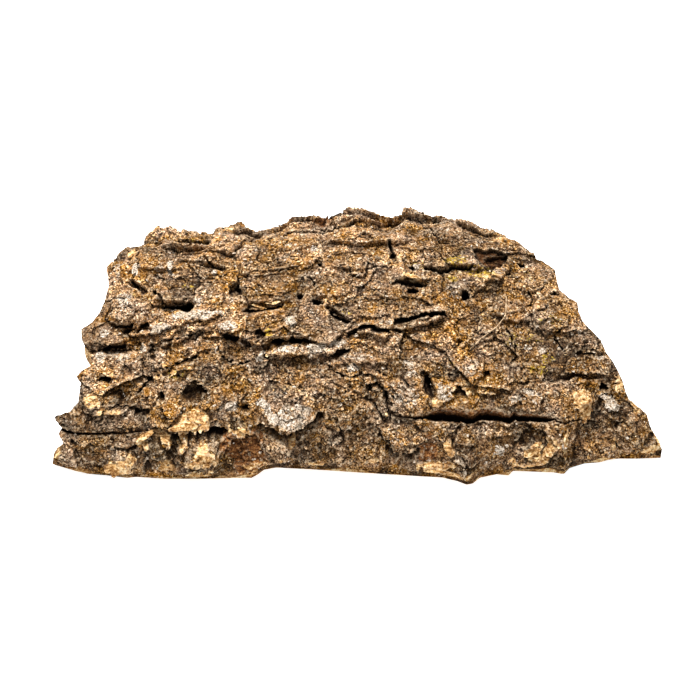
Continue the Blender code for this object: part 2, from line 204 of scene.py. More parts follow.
# Hollows and knobs: (along, round, half length, half width, depth or height).
HOLLOWS = (
    (-115, 116, 6, 5, 10), (-106, 53, 10, 6, 10), (-137, 62, 4, 3, 6), (98, 150, 14, 7, 10),
    (25, 160, 4, 5, 7), (38, 150, 4, 3, 6), (72, 124, 4, 3.5, 7), (-74, 43, 4, 4, 7), (-83, 127, 7, 5, 6),
    (-40, 121, 4, 3, 6), (-27, 116, 6, 3.5, 7), (-27, 152, 3, 3, 5), (-129, 53, 3, 4, 5),
    (-76, 18, 17, 17, 4), (40, 128, 11, 4, 5), (-128, 115, 12, 4, 6), (-35, 68, 26, 5, 3),
    (-120, 172, 15, 5, 4), (72, 145, 13, 3, 5), (-14, 205, 8, 5, 6),
)
KNOBS = (
    (-154, 113, 14, 15, 6), (-104, 20, 19, 14, 9), (-158, 12, 13, 9, 5), (-129, 22, 9, 10, 4),
    (-54, 16, 12, 12, 5), (67, 128, 8, 7, 4), (113, 13, 14, 9, 5), (134, 6, 9, 7, 4), (190, 13, 9, 8, 4),
    (86, 136, 12, 8, 4), (-170, 50, 17, 10, 3), (-151, 59, 13, 9, 3), (-168, 178, 14, 12, 3),
    (0, 215, 30, 18, 3), (104, 186, 12, 10, 3), (60, 190, 20, 14, 4),
)
# The two long cracks: (along, upper edge, lower edge).
RIGHT_CRACK = (
    (20, 37.0, 36.4), (34, 37.6, 36.4), (44, 39.4, 36.4), (51, 43.4, 36.2), (57, 45.6, 36.8),
    (67, 46.6, 37.4), (79, 45.6, 37.6), (93, 42.6, 35.2), (105, 40.2, 33.6), (115, 39.4, 33.8),
    (124, 38.0, 34.2), (129, 36.2, 35.0), (144, 32.4, 31.4), (160, 28.0, 27.0), (174, 24.6, 23.8),
)
LEFT_CRACK = ((-204, 27, 25), (-192, 27.4, 25), (-173, 28.8, 27), (-156, 30, 28.6), (-138, 32, 31.2))
# Plates that stand up from the crust: (lift along the near edge, lift at the back, tone, finish, corners).
RAISED = (
    (4.2, 1.0, 0.75, "crust", ((-153, 94), (-146, 95), (-139, 95), (-130, 98), (-120, 102), (-108, 105),
     (-98, 106), (-91, 109), (-94, 114), (-103, 117), (-112, 113), (-121, 110), (-131, 108), (-140, 103),
     (-152, 99))),
    (3.0, 1.2, -0.2, "crust", ((-188, 100), (-185, 90), (-178, 86), (-172, 87), (-162, 89), (-154, 91),
     (-153, 97), (-160, 104), (-172, 106), (-180, 104))),
    (2.4, 0.8, 0.5, "crust", ((12, 55), (16, 61), (25, 60), (32, 58), (41, 61), (44, 57), (45, 50),
     (46, 44), (42, 39), (30, 38), (23, 39), (22, 44), (18, 48), (15, 53))),
    (2.4, 1.0, 0.4, "crust", ((50, 47), (49.5, 60), (55, 61.5), (62, 60), (66, 57), (63, 51), (58, 48))),
    (3.4, 0.8, 0.5, "crust", ((12.7, 30.9), (17.2, 32), (22.5, 33), (29, 32.6), (34.3, 32.2), (39.5, 29.9),
     (42.2, 26.4), (37, 24.3), (31.7, 20.8), (27.8, 16.7), (24.5, 19.7), (21.2, 24), (17.3, 27.5))),
    (2.6, 0.6, 0.1, "crust", ((-143, 53), (-138, 57), (-134, 61), (-131, 58), (-132, 51), (-136, 47),
     (-141, 44), (-144, 48))),
    (3.4, 0.8, 0.4, "crust", ((-128, 53), (-122, 54), (-118, 52), (-116.5, 46), (-117, 42), (-122, 41),
     (-127, 43), (-130, 48))),
    (2.4, 0.6, 0.4, "crust", ((-61, 76), (-58, 82), (-50, 81), (-36, 83), (-27, 85), (-20, 84), (-10, 86),
     (-8, 83), (-12, 79), (-20, 76), (-32, 76), (-42, 74), (-50, 72), (-58, 73))),
    (2.2, 0.5, 0.2, "crust", ((-20, 68), (-17, 74), (-8, 77), (6, 77), (18, 75), (19, 70), (10, 69.5),
     (0, 70), (-8, 71), (-14, 68.5))),
    (3.4, 1.0, 0.3, "tan", ((-129, 37.6), (-123, 40.7), (-116.7, 42.4), (-110, 44), (-103, 44), (-99, 39),
     (-97, 34.2), (-100, 32.5), (-106, 33.3), (-112.6, 34.5), (-119, 35.4), (-126.5, 36))),
    (3.0, 0.6, 0.45, "crust", ((-66, 46.6), (-60.4, 45), (-55, 43), (-50, 43.4), (-42, 42), (-35.3, 39.7),
     (-30, 37.4), (-26.8, 35), (-30, 31.8), (-36, 29.4), (-42, 28.6), (-48.5, 29.2), (-53.7, 31.2),
     (-59, 34), (-63, 38.4))),
    (2.8, 1.6, 0.35, "crust", ((-167, 104), (-167, 120), (-165, 131), (-156, 132), (-150, 127),
     (-149, 112), (-153, 105), (-160, 103))),
    (2.2, 0.8, -0.5, "crust", ((-137, 121), (-133, 128), (-124, 131), (-114, 128), (-110, 123),
     (-120, 120), (-130, 120))),
    (2.6, 0.8, 0.3, "crust", ((10, 97), (13, 102), (20, 104), (24, 101), (23, 96.5), (17, 95))),
    (2.8, 0.6, 0.35, "crust", ((39, 106), (42, 112), (52, 115), (60, 113), (61, 110), (52, 108),
     (44, 106))),
    (3.2, 2.2, 0.5, "crust", ((89, 137), (91, 145), (96, 152), (102, 158), (104, 152), (99, 143),
     (95, 137))),
    (3.0, 1.8, 0.4, "crust", ((68, 68), (71, 77), (78, 78), (83, 71), (81, 65), (74, 64))),
    (2.4, 0.8, 0.3, "crust", ((78, 56), (80, 62), (88, 62), (94, 57), (91, 52), (83, 52))),
    (3.0, 1.4, 0.0, "crust", ((137, 66), (139, 76), (150, 75.5), (158, 76.5), (167, 76), (169, 70),
     (166, 62), (150, 63))),
    (2.2, 0.8, 0.5, "crust", ((99, 44), (100, 50), (104, 51), (108, 48), (105, 44))),
    (2.6, 1.2, 0.2, "crust", ((108, 40), (108, 48), (112, 53), (118, 54), (121, 48), (120, 41), (114, 39))),
    (1.8, 1.8, 0.3, "crust", ((124, 12), (124, 33.5), (137, 34), (139, 31), (136, 12))),
    (1.8, 1.2, 0.15, "crust", ((-176, 31), (-174, 43), (-160, 45), (-149, 44), (-144, 38), (-141, 33),
     (-158, 31.5))),
    (2.2, 1.4, -0.2, "crust", ((-201, 31), (-197, 36), (-190, 42), (-182, 42), (-178, 38), (-179, 32),
     (-190, 30))),
    (1.8, 1.0, -0.1, "crust", ((-197, 20), (-195, 27), (-180, 28.5), (-160, 29.5), (-144, 30.5),
     (-143, 22), (-160, 20.5), (-178, 19.5))),
    (2.4, 0.8, 0.3, "tan", ((-168, 8.6), (-163, 13), (-158, 16), (-153, 15.4), (-149, 11), (-146, 6),
     (-151, 3.6), (-160, 3.8), (-166, 5))),
    (1.8, 0.8, 0.4, "tan", ((-133, 12), (-129, 14.7), (-123, 13.4), (-119.5, 10.3), (-122, 7.3),
     (-127.5, 6), (-132, 8.3))),
    (3.0, 2.2, -0.45, "crust", ((-141, 22), (-136, 26), (-131, 28), (-126, 25), (-124.5, 20.4), (-128, 17),
     (-134, 16), (-139, 18.5))),
    (2.2, 1.4, 0.3, "tan", ((-118, 33), (-112.6, 33.3), (-110.6, 30), (-112.6, 26), (-116.6, 22.3),
     (-119, 26.7), (-119, 30.4))),
    (3.0, 1.6, 0.15, "crust", ((-112.5, 22), (-110.5, 28.6), (-105, 31), (-98.7, 30), (-93.5, 27),
     (-90, 22.5), (-89.6, 17), (-92, 13.5), (-100, 14), (-107, 14), (-113, 15.7))),
    (1.8, 1.2, 0.5, "tan", ((-111, 9), (-106, 7.3), (-101, 6), (-96, 7.6), (-94.4, 9.9), (-101.6, 9.9),
     (-107, 10.2))),
    (1.2, 0.8, -0.5, "crust", ((-127, 5), (-119.5, 7), (-113, 7), (-110.4, 3.9), (-117, 2.3), (-125, 2.2))),
    (2.4, 1.4, 0.3, "crust", ((-61, 19.6), (-57.7, 22.3), (-51.8, 21), (-46, 18.7), (-44.6, 13.6),
     (-46.6, 8.5), (-52, 10), (-58, 14.4))),
    (2.2, 1.4, -0.1, "tan", ((39, 12.5), (47.6, 12.6), (58, 11), (58.3, 7), (47.7, 7.7), (40, 9))),
    (1.8, 0.4, 0.4, "tan", ((40, 6.1), (48, 6.8), (58, 5.6), (69, 5.2), (79, 6.5), (71.4, 3), (61, 2.2),
     (48, 3.8))),
    (2.4, 1.2, 0.4, "tan", ((124, 14), (129.4, 18.7), (133.3, 21.5), (134.6, 19), (131, 14.8), (127, 12))),
    (2.0, 1.2, 0.5, "pale", ((158.8, 48.2), (165.5, 46.4), (169.5, 43.4), (173.4, 37.6), (170.8, 34.4),
     (165.4, 36.8), (162.8, 41))),
    (2.2, 1.4, 0.3, "tan", ((54.7, 25.2), (59.2, 27.8), (61.8, 24.7), (64, 19.5), (60.6, 16.3),
     (57.3, 19.3))),
    (2.8, 1.4, 0.3, "tan", ((-145, 25), (-143.6, 28.6), (-137.6, 31.9), (-131, 33.5), (-127, 32.5),
     (-122, 28), (-122.6, 24.5), (-126.4, 25.6), (-129.7, 29.8), (-134.3, 30.2), (-138.9, 27.5),
     (-142.2, 24.2))),
    (1.6, 1.6, -0.6, "crust", ((-44.6, 9.8), (-45.9, 16), (-44.6, 23), (-38, 26), (-29, 28), (-21, 28),
     (-16.2, 26), (-16.9, 18), (-22, 11), (-30, 7.5), (-38, 6.5))),
    (3.4, 0.8, 0.4, "crust", ((-92, 96), (-92, 103), (-84, 107), (-77, 104), (-77, 98), (-83, 95))),
    (2.0, 0.6, 0.5, "crust", ((-51, 97), (-48, 103), (-43, 105), (-41, 99), (-46, 95))),
    (1.6, 0.3, 0.3, "tan", ((98, 13.5), (102, 11), (108, 8.6), (115, 9), (120, 12), (124, 18), (130, 20),
     (129, 13), (125, 6), (118, 4.3), (104, 4.3))),
    (1.8, 0.8, 0.2, "tan", ((142, 52), (148, 52), (155, 47), (154.5, 38), (154, 30), (149, 28), (146, 38),
     (142, 45))),
    (2.2, 0.8, 0.1, "crust", ((-69, 88), (-66, 98), (-60, 103), (-52, 101), (-49, 94), (-55, 88),
     (-62, 86))),
    (1.3, 0.6, 0.1, "crust", ((-8, 103), (-4, 112), (6, 116), (16, 113), (22, 106), (12, 103), (2, 104))),
    (1.2, 0.5, 0.0, "crust", ((-70, 124), (-66, 133), (-52, 137), (-44, 131), (-46, 125), (-58, 122))),
    (1.3, 0.5, -0.1, "crust", ((-30, 122), (-26, 133), (-12, 136), (-3, 129), (-8, 121), (-20, 119))),
    (1.4, 0.6, 0.1, "crust", ((3, 119), (4, 131), (14, 134), (20, 128), (18, 119), (10, 116))),
    (1.3, 0.5, 0.0, "crust", ((84, 112), (86, 122), (98, 126), (110, 122), (112, 113), (98, 109))),
    (2.2, 0.8, -0.2, "crust", ((114, 100), (117, 112), (130, 115), (142, 110), (140, 101), (126, 98))),
    (1.4, 0.6, 0.2, "crust", ((106, 132), (108, 146), (118, 150), (126, 144), (126, 133), (115, 129))),
    (1.2, 0.5, 0.0, "crust", ((-20, 146), (-14, 158), (4, 160), (16, 154), (10, 145), (-6, 142))),
    (1.3, 0.5, -0.1, "crust", ((-80, 142), (-78, 156), (-62, 160), (-46, 154), (-48, 144), (-64, 140))),
    (1.3, 0.5, 0.15, "crust", ((-124, 162), (-122, 174), (-108, 176), (-96, 170), (-98, 162), (-112, 158))),
    (1.4, 0.6, 0.1, "crust", ((-60, 168), (-54, 182), (-36, 184), (-24, 176), (-32, 168), (-46, 165))),
    (1.4, 0.6, 0.0, "crust", ((28, 166), (30, 180), (44, 184), (56, 176), (50, 167), (38, 164))),
    (1.3, 0.6, 0.1, "crust", ((106, 164), (110, 176), (116, 178), (118, 170), (114, 163))),
    (2.0, 0.8, -0.2, "crust", ((66, 90), (68, 100), (80, 103), (92, 99), (90, 90), (78, 87))),
    (2.0, 0.8, 0.1, "crust", ((100, 60), (102, 72), (114, 75), (124, 70), (122, 61), (110, 58))),
    (1.8, 0.8, -0.2, "crust", ((-22, 30), (-20, 46), (-8, 50), (4, 44), (4, 33), (-8, 28))),
    (1.8, 0.8, 0.1, "crust", ((62, 14), (64, 30), (76, 33), (88, 29), (88, 15), (76, 11))),
    (1.8, 0.8, -0.1, "crust", ((-14, 8), (-10, 21), (2, 23), (12, 19), (12, 9), (0, 6))),
    (1.6, 1.0, -0.1, "crust", ((158, 12), (157, 30), (168, 33), (184, 28), (186, 14), (172, 9))),
)
# Holes and the deep shade under plates, sunk and painted near black as shade: (depth, corners).
PITS = (
    (4, ((-112.7, 12.5), (-107, 11), (-100, 10.8), (-94.3, 12.5), (-93.6, 15.4), (-100.2, 13.8),
     (-106.7, 14), (-112, 15.3))),
    (9, ((-133, 116), (-128, 118), (-121, 117.5), (-113, 121), (-110.5, 117), (-112, 112), (-116, 110.5),
     (-119, 114), (-126, 115))),
    (7, ((-147, 98.5), (-145, 103), (-141, 105), (-138.5, 102), (-140, 98.5))),
    (6, ((-163, 101), (-157, 103), (-150, 103.5), (-151, 100.5), (-158, 100))),
    (4, ((-178, 82.5), (-173, 85), (-165, 86.5), (-156, 88.5), (-154, 86.5), (-163, 84), (-172, 81.5))),
    (6, ((-140.5, 60), (-140, 65), (-136, 65.5), (-133.5, 62.5), (-137, 60.5))),
    (7, ((-132, 56), (-128.5, 56.5), (-126.8, 52), (-129, 49.5), (-131.5, 52))),
    (3.6, ((-117, 56), (-113, 60), (-108, 62.5), (-103, 60.5), (-99, 54), (-103.5, 52), (-103.5, 46.5),
     (-110, 46), (-117, 49.5))),
    (4, ((-120.5, 64), (-119.5, 66.5), (-117.5, 66), (-118, 64))),
    (7, ((-123, 31), (-118, 31.5), (-115.5, 28), (-117, 24.5), (-121, 25), (-123.5, 28))),
    (7, ((-99, 31), (-93, 32.5), (-88, 32), (-87.5, 28.5), (-90, 26), (-94, 27.5), (-98, 29))),
    (6, ((-77.5, 41), (-76, 44.5), (-72.5, 44.5), (-71, 41.5), (-74, 39.5))),
    (7, ((-58.5, 83.5), (-55, 86.5), (-50, 86), (-48.8, 83), (-52, 81.5))),
    (7, ((-47, 86), (-44, 88.5), (-40, 86.5), (-35.5, 85), (-38, 82.5), (-44, 82))),
    (5, ((-18.5, 74), (-14, 78.5), (-6, 79.5), (-5.5, 77), (-10, 75), (-15, 71.5))),
    (6, ((-10.5, 86.5), (-6, 92), (0, 96.5), (7, 98.5), (11, 96), (20, 94.5), (20, 91.5), (12, 92),
     (7, 94.5), (1, 93), (-4, 89))),
    (9, ((22, 97), (24, 101.5), (33, 104), (41, 107), (50, 109), (58, 109.5), (59, 106.5), (50, 105.5),
     (41, 103.5), (35, 100), (29, 97.5))),
    (5, ((43.5, 61.5), (48.5, 60), (49.5, 51), (48.5, 47), (45, 47.5), (44.5, 54))),
    (6, ((6.5, 52), (8, 55), (10, 54), (9.2, 50), (7, 49.5))),
    (5, ((-9.5, 48.5), (-9, 51), (-6.8, 51.2), (-7.3, 48.8))),
    (5, ((21.5, 46.5), (22.5, 49), (24.8, 48.4), (24.2, 45.8))),
    (10, ((-62, 29), (-57, 26.5), (-50, 25.5), (-42, 26.5), (-34, 29.5), (-30, 33.5), (-26, 35.5),
     (-24.8, 33.5), (-30.5, 29), (-38, 24), (-47, 20.8), (-53, 21.5), (-60, 25))),
    (7, ((23, 19.5), (27, 17), (31, 15.8), (36, 18.5), (41, 20), (40.5, 18.3), (34, 15.5), (29, 13),
     (24.5, 11.5), (22.8, 14))),
    (6, ((-19, 109), (-14, 105), (-9, 101), (-3, 100), (-3, 98), (-10, 98.5), (-16, 102.5), (-20, 106.5))),
    (6, ((-41.5, 118), (-40, 122.5), (-37, 122), (-36.8, 118.5), (-39, 117))),
    (7, ((-31, 114), (-30, 118), (-26, 117.5), (-23, 114.5), (-26, 112.3), (-30, 112.8))),
    (5, ((-28, 149), (-27.5, 152.5), (-25, 151), (-23.8, 146.5), (-26, 146))),
    (7, ((31.5, 124), (33, 128), (37, 128.5), (41, 126.5), (39, 123), (35, 122.5))),
    (4, ((22, 130), (26, 134.5), (34, 136.5), (42, 134), (46, 130.5), (40, 129.5), (30, 130), (25, 128.5))),
    (6, ((35, 144), (35.5, 149), (38, 149.5), (38.5, 144), (36.5, 142.5))),
    (8, ((20.5, 172), (22, 162), (21, 154), (23, 149.5), (27, 149.5), (26.5, 156), (24.5, 163),
     (23.5, 172))),
    (7, ((46, 148.5), (50, 149), (56, 146.5), (60, 142.5), (58, 140.5), (53, 143.5), (48, 146))),
    (7, ((60.5, 146), (62, 149.5), (68, 150), (76, 151), (80, 152.5), (79, 149.5), (72, 147), (65, 145.5))),
    (8, ((69.8, 119), (70, 127), (73, 127.5), (75.5, 125), (73.5, 120))),
    (4, ((79, 172), (86, 169), (92, 171.5), (98, 170.5), (103, 166), (101.5, 158), (96, 153.5),
     (90, 149.5), (85, 152), (80, 157))),
    (6, ((109.5, 157), (112, 159.5), (114.5, 156), (113.5, 153), (110.5, 154))),
    (3.2, ((-88, 131), (-84, 134.5), (-80.5, 133), (-80, 124), (-84, 121), (-88, 126))),
    (4, ((-134, 192), (-128, 199), (-121, 206), (-112, 203), (-104, 199), (-100, 195), (-104, 189),
     (-115, 188), (-126, 188))),
    (3, ((144, 78), (147, 79.8), (152, 78), (157, 78.8), (158.5, 77), (152, 75.8), (146, 76))),
    (6, ((160.5, 50), (161.5, 55.5), (164, 54.5), (165.5, 49.5), (163, 47.5))),
    (5, ((129, 129), (133, 131), (138, 129.5), (137, 128), (131, 127.5))),
    (4, ((-172, 62), (-169, 66.5), (-163, 65.5), (-162.5, 61), (-166, 59.5))),
    (2, ((-159, 67), (-155, 73), (-150, 73.5), (-146, 69), (-150, 66))),
    (5, ((-148, 40), (-147, 44.5), (-143.5, 44.5), (-143, 40.5), (-145.5, 39))),
    (4, ((-190, 17.5), (-189.5, 22), (-186, 21.5), (-185.8, 18))),
    (4, ((-112, 11.5), (-110, 14.5), (-104, 13.5), (-98, 14.5), (-93, 14), (-92, 11.5), (-100, 10.8))),
    (5, ((-91, 95), (-88, 95.5), (-80, 93), (-79, 90), (-83, 87.5), (-88, 90))),
    (5, ((-69, 95), (-65, 97), (-62, 92), (-62, 86), (-65, 87), (-68, 91))),
    (4, ((61, 55), (66, 59), (71, 57.5), (72, 51), (64, 50))),
    (3.5, ((82, 64), (84, 69), (88, 68), (88, 64), (85, 62.5))),
    (3, ((188.5, 13), (190, 18.5), (196, 18), (197, 13.5), (193, 11.5))),
    (5, ((-78, 110), (-74, 112.5), (-66, 111.5), (-60, 113), (-50, 114), (-51, 111.5), (-60, 110),
     (-70, 109))),
    (4, ((-140, 3.5), (-141, 10), (-137, 14), (-134.5, 10), (-133, 4))),
)
# Thin cracks, sunk and painted dark as shade: (half width, depth, points).
SLITS = (
    (0.9, 5, ((-144, 55), (-140, 60.5))),
    (0.6, 4, ((-127, 70), (-122, 74), (-115, 76.7), (-108.5, 77.8))),
    (0.5, 3, ((-168, 43), (-160, 46.3), (-147, 45.3))),
    (0.9, 5, ((8, 54), (13, 55.5), (17, 50.5), (19, 45), (21, 38.5), (21.5, 35))),
    (0.5, 3, ((-9, 25.5), (-4, 25.8), (-1, 24.6))),
    (0.6, 3, ((12, 25.3), (16, 24), (18, 22))),
    (0.9, 5, ((14, 26), (19, 23.5), (22, 19), (23.3, 12.5))),
    (1.0, 5, ((-155, 140), (-151, 137), (-148, 132.5))),
    (0.8, 4, ((-138.5, 144.5), (-133, 139))),
    (1.1, 5, ((-105, 164), (-101, 157), (-98, 153), (-92, 152))),
    (0.9, 4, ((-138, 129), (-134, 124.5), (-131, 119))),
    (0.7, 3, ((46, 196), (50, 190), (53, 182), (57, 175))),
    (0.6, 3, ((56, 160), (59, 154), (60, 149))),
    (0.8, 4, ((-33, 137), (-31, 133), (-29.5, 131))),
    (0.8, 4, ((24, 196), (23.5, 188), (25, 182))),
    (0.8, 4, ((-16, 200), (-17, 190))),
    (0.9, 3, ((100, 98), (103, 90), (101.5, 87))),
    (0.6, 3, ((-128, 91), (-112, 95), (-104, 98))),
    (0.6, 3, ((-19, 66), (-13, 62), (-2, 61), (8, 62))),
    (0.6, 3, ((30, 59), (34, 56.5), (38, 57))),
    (0.6, 3, ((171, 14), (173, 9), (176, 7))),
    (0.6, 3, ((135, 100), (132, 92), (136, 84))),
    (0.5, 3, ((104, 86), (106, 78), (103, 72))),
    (0.7, 3, ((-90, 78), (-82, 72), (-72, 74))),
    (0.6, 3, ((-178, 20), (-160, 21), (-146, 20))),
    (0.7, 3, ((116, 130), (118, 122), (114, 117))),
    (0.7, 3, ((-64, 196), (-61, 186), (-63, 178))),
)
ARC_STEPS = 1441
FAR_OFF = 1000.0
DEEPEST = -9.0
LOWEST_PLATE = -7.5
HIGHEST_PLATE = 17.0
LOWEST_CUT = -12.0
END_ROUNDING = 16.0


def hashed(column, row, seed):
    """An even spread of numbers from 0 to 1, one for each cell of a square layout."""
    number = (column * 374761393 + row * 668265263 + seed * 1274126177) & 0xFFFFFFFF
    number = ((number ^ (number >> 13)) * 1274126177) & 0xFFFFFFFF
    number = number ^ (number >> 16)
    return (number & 0xFFFFFF) / float(0x1000000)


def swell(x, y, seed):
    """Soft rolling noise from -1 to 1 with one swell to a unit."""
    column = np.floor(x).astype(np.int64)
    row = np.floor(y).astype(np.int64)
    part_x = x - column
    part_y = y - row
    part_x = part_x * part_x * (3 - 2 * part_x)
    part_y = part_y * part_y * (3 - 2 * part_y)
    low = hashed(column, row, seed) * (1 - part_x) + hashed(column + 1, row, seed) * part_x
    high = hashed(column, row + 1, seed) * (1 - part_x) + hashed(column + 1, row + 1, seed) * part_x
    return 2 * (low * (1 - part_y) + high * part_y) - 1


def rough(x, y, seed, octaves=3):
    """Swells of halving size added up."""
    total = np.zeros_like(x)
    share = 1.0
    for octave in range(octaves):
        total = total + share * swell(x * 2 ** octave, y * 2 ** octave, seed + 17 * octave)
        share *= 0.5
    return total


def step(low, high, value):
    """0 below low, 1 above high and an even curve between."""
    part = np.clip((value - low) / (high - low), 0, 1)
    return part * part * (3 - 2 * part)


def facets(x, w, size, lift, slope, gap, seed, edge_width=0.12):
    """Blocks of crust, each with its own height and its own slant, and a narrow gap round it."""
    column = np.floor(x / size).astype(np.int64)
    row = np.floor(w / size).astype(np.int64)
    nearest = np.full(x.shape, FAR_OFF)
    second = np.full(x.shape, FAR_OFF)
    height = np.zeros(x.shape)
    own = np.zeros(x.shape)
    for near_column in range(-1, 2):
        for near_row in range(-1, 2):
            at_column = column + near_column
            at_row = row + near_row
            across = x / size - at_column - 0.1 - 0.8 * hashed(at_column, at_row, seed)
            along = w / size - at_row - 0.1 - 0.8 * hashed(at_column, at_row, seed + 5)
            away = np.hypot(across, along)
            closer = away < nearest
            second = np.where(closer, nearest, np.minimum(second, away))
            nearest = np.where(closer, away, nearest)
            light = hashed(at_column, at_row, seed + 9) - 0.5
            slant_x = hashed(at_column, at_row, seed + 13) - 0.5
            slant_w = hashed(at_column, at_row, seed + 19) - 0.6
            here = 2 * lift * light + 2 * slope * size * (slant_x * across + slant_w * along)
            height = np.where(closer, here, height)
            own = np.where(closer, light, own)
    return height - gap * (1 - step(0.0, edge_width, second - nearest)), own


def along_run(x, first, last, length=6.0):
    """1 between two places along the slab and 0 past them."""
    return step(first - length, first + length, x) * (1 - step(last - length, last + length, x))


def from_line(x, w, start, end):
    """How far a place lies from a straight line between two places."""
    long_x = end[0] - start[0]
    long_w = end[1] - start[1]
    part = np.clip(((x - start[0]) * long_x + (w - start[1]) * long_w) / (long_x ** 2 + long_w ** 2), 0, 1)
    return np.hypot(x - start[0] - part * long_x, w - start[1] - part * long_w)


def ledge(x, w, points, height, back):
    """The lifted near edge of a plate, which falls away again behind."""
    table = np.array(points, float)
    ragged = 1.8 * swell(x / 5.0, x * 0 + height * 3.1, 71) + 0.9 * swell(x / 2.1, x * 0 + back * 1.7, 72)
    ahead = w - np.interp(x, table[:, 0], table[:, 1]) - ragged
    lifted = step(-1.2, 0.6, ahead) * np.exp(-np.maximum(ahead, 0) / back)
    under = 0.4 * np.exp(-(((ahead + 3.6) / 2.8) ** 2))
    return height * along_run(x, points[0][0], points[-1][0]) * (lifted - under)


def furrow(x, w, points, half_width, depth):
    """A narrow furrow along a run of points."""
    nearest = np.full(x.shape, FAR_OFF)
    for start, end in zip(points[:-1], points[1:]):
        nearest = np.minimum(nearest, from_line(x, w, start, end))
    nearest = nearest + 0.5 * swell(x / 1.9, w / 1.9, 73)
    return -depth * (1 - step(0.3 * half_width, 1.2 * half_width, nearest))


def mound(x, w, at_x, at_w, half_x, half_w, height):
    """A knob with a steep side, or a hollow when the height is below 0."""
    away = np.hypot((x - at_x) / half_x, (w - at_w) / half_w) + 0.12 * swell(x / 5.0, w / 5.0, 81)
    away = away + 0.1 * swell(x / 1.8, w / 1.8, 82)
    return height * (1 - step(0.45, 1.1, away))


def crack(x, w, stations, depth, ends):
    """A long crack: steep at its lower lip, its upper wall slanting in to the bottom."""
    table = np.array(stations, float)
    wander = 0.3 * swell(x / 7.0, x * 0 + depth, 91) + 0.35 * swell(x / 1.9, x * 0 + depth, 92)
    upper = np.interp(x, table[:, 0], table[:, 1]) + wander
    lower = np.interp(x, table[:, 0], table[:, 2]) + 0.35 * wander
    upper = np.maximum(upper, lower + 1.1)
    across = (w - lower) / (upper - lower)
    shape = step(-0.12, 0.10, across) * (1 - step(0.22, 1.0, across))
    deep = np.clip((upper - lower) / 4.0, 0.3, 1.0) * along_run(x, ends[0] + 6, ends[1] - 6)
    # Painted shade: the crack's bottom is marked to be coloured near black.
    black = step(0.2, 0.5, deep) * step(-0.12, 0.0, across) * (1 - step(0.38, 0.6, across))
    return -depth * deep * shape, black


def fine_relief(x, w):
    """The crust's small scales, grain and pits, finer than the solid's facets."""
    bent_x = x + 1.6 * rough(x / 7.0, w / 6.0, 111, 2)
    bent_w = w + 1.4 * rough(x / 7.0, w / 5.0, 112, 2)
    layers = 2.0 * rough(x / 17.0, w / 16.0, 113, 4)
    whole = np.floor(layers)
    height = 0.6 * (whole + step(0.38, 0.47, layers - whole) - layers)
    height = height + facets(bent_x / 1.2, bent_w, 3.6, 0.08, 0.09, 0.12, 24, 0.16)[0]
    height = height + facets(bent_x, bent_w, 1.5, 0.12, 0.24, 0.10, 25, 0.2)[0]
    height = height + 0.3 * rough(x / 9.0, w / 1.9, 114, 2) * step(-0.2, 0.5, swell(x / 26.0, w / 15.0, 115))
    height = height + 0.2 * swell(x / 0.9, w / 0.9, 117)
    holes = step(0.56, 0.70, swell(x / 2.4, w / 1.8, 118)) * step(-0.1, 0.5, swell(x / 22.0, w / 16.0, 119))
    return height - 1.4 * holes


def inside_by(x, w, corners):
    """How far inside an outline a place lies, below 0 outside it, in millimetres."""
    away = np.full(x.shape, FAR_OFF)
    inside = np.zeros(x.shape, bool)
    for (x0, w0), (x1, w1) in zip(corners, corners[1:] + corners[:1]):
        away = np.minimum(away, from_line(x, w, (x0, w0), (x1, w1)))
        if w0 != w1:
            crosses = ((w0 > w) != (w1 > w)) & (x < (x1 - x0) * (w - w0) / (w1 - w0) + x0)
            inside = inside ^ crosses
    return np.where(inside, away, -away)


def near_to(x, w, corners, reach=4.0):
    """The places within reach of an outline's box."""
    corner_x, corner_w = np.array(corners, float).T
    return ((x > corner_x.min() - reach) & (x < corner_x.max() + reach)
            & (w > corner_w.min() - reach) & (w < corner_w.max() + reach))


def torn(x, w, size, push, fine, seed):
    """A place pushed about a little, so that an outline laid there comes out ragged."""
    return tuple(
        place + push * swell(x / size, w / size, first) + 0.8 * swell(x / fine, w / fine, first + 1)
        for place, first in ((x, seed), (w, seed + 2))
    )


def laid_out(x, w, torn_x, torn_w, corners):
    """The places near an outline, how far inside it each lies, and how far back, 0 at its near edge to 1."""
    here = near_to(x, w, corners)
    inside = inside_by(torn_x[here], torn_w[here], corners)
    first = min(corner[1] for corner in corners)
    last = max(corner[1] for corner in corners)
    return here, inside, np.clip((w[here] - first) / (last - first), 0, 1)


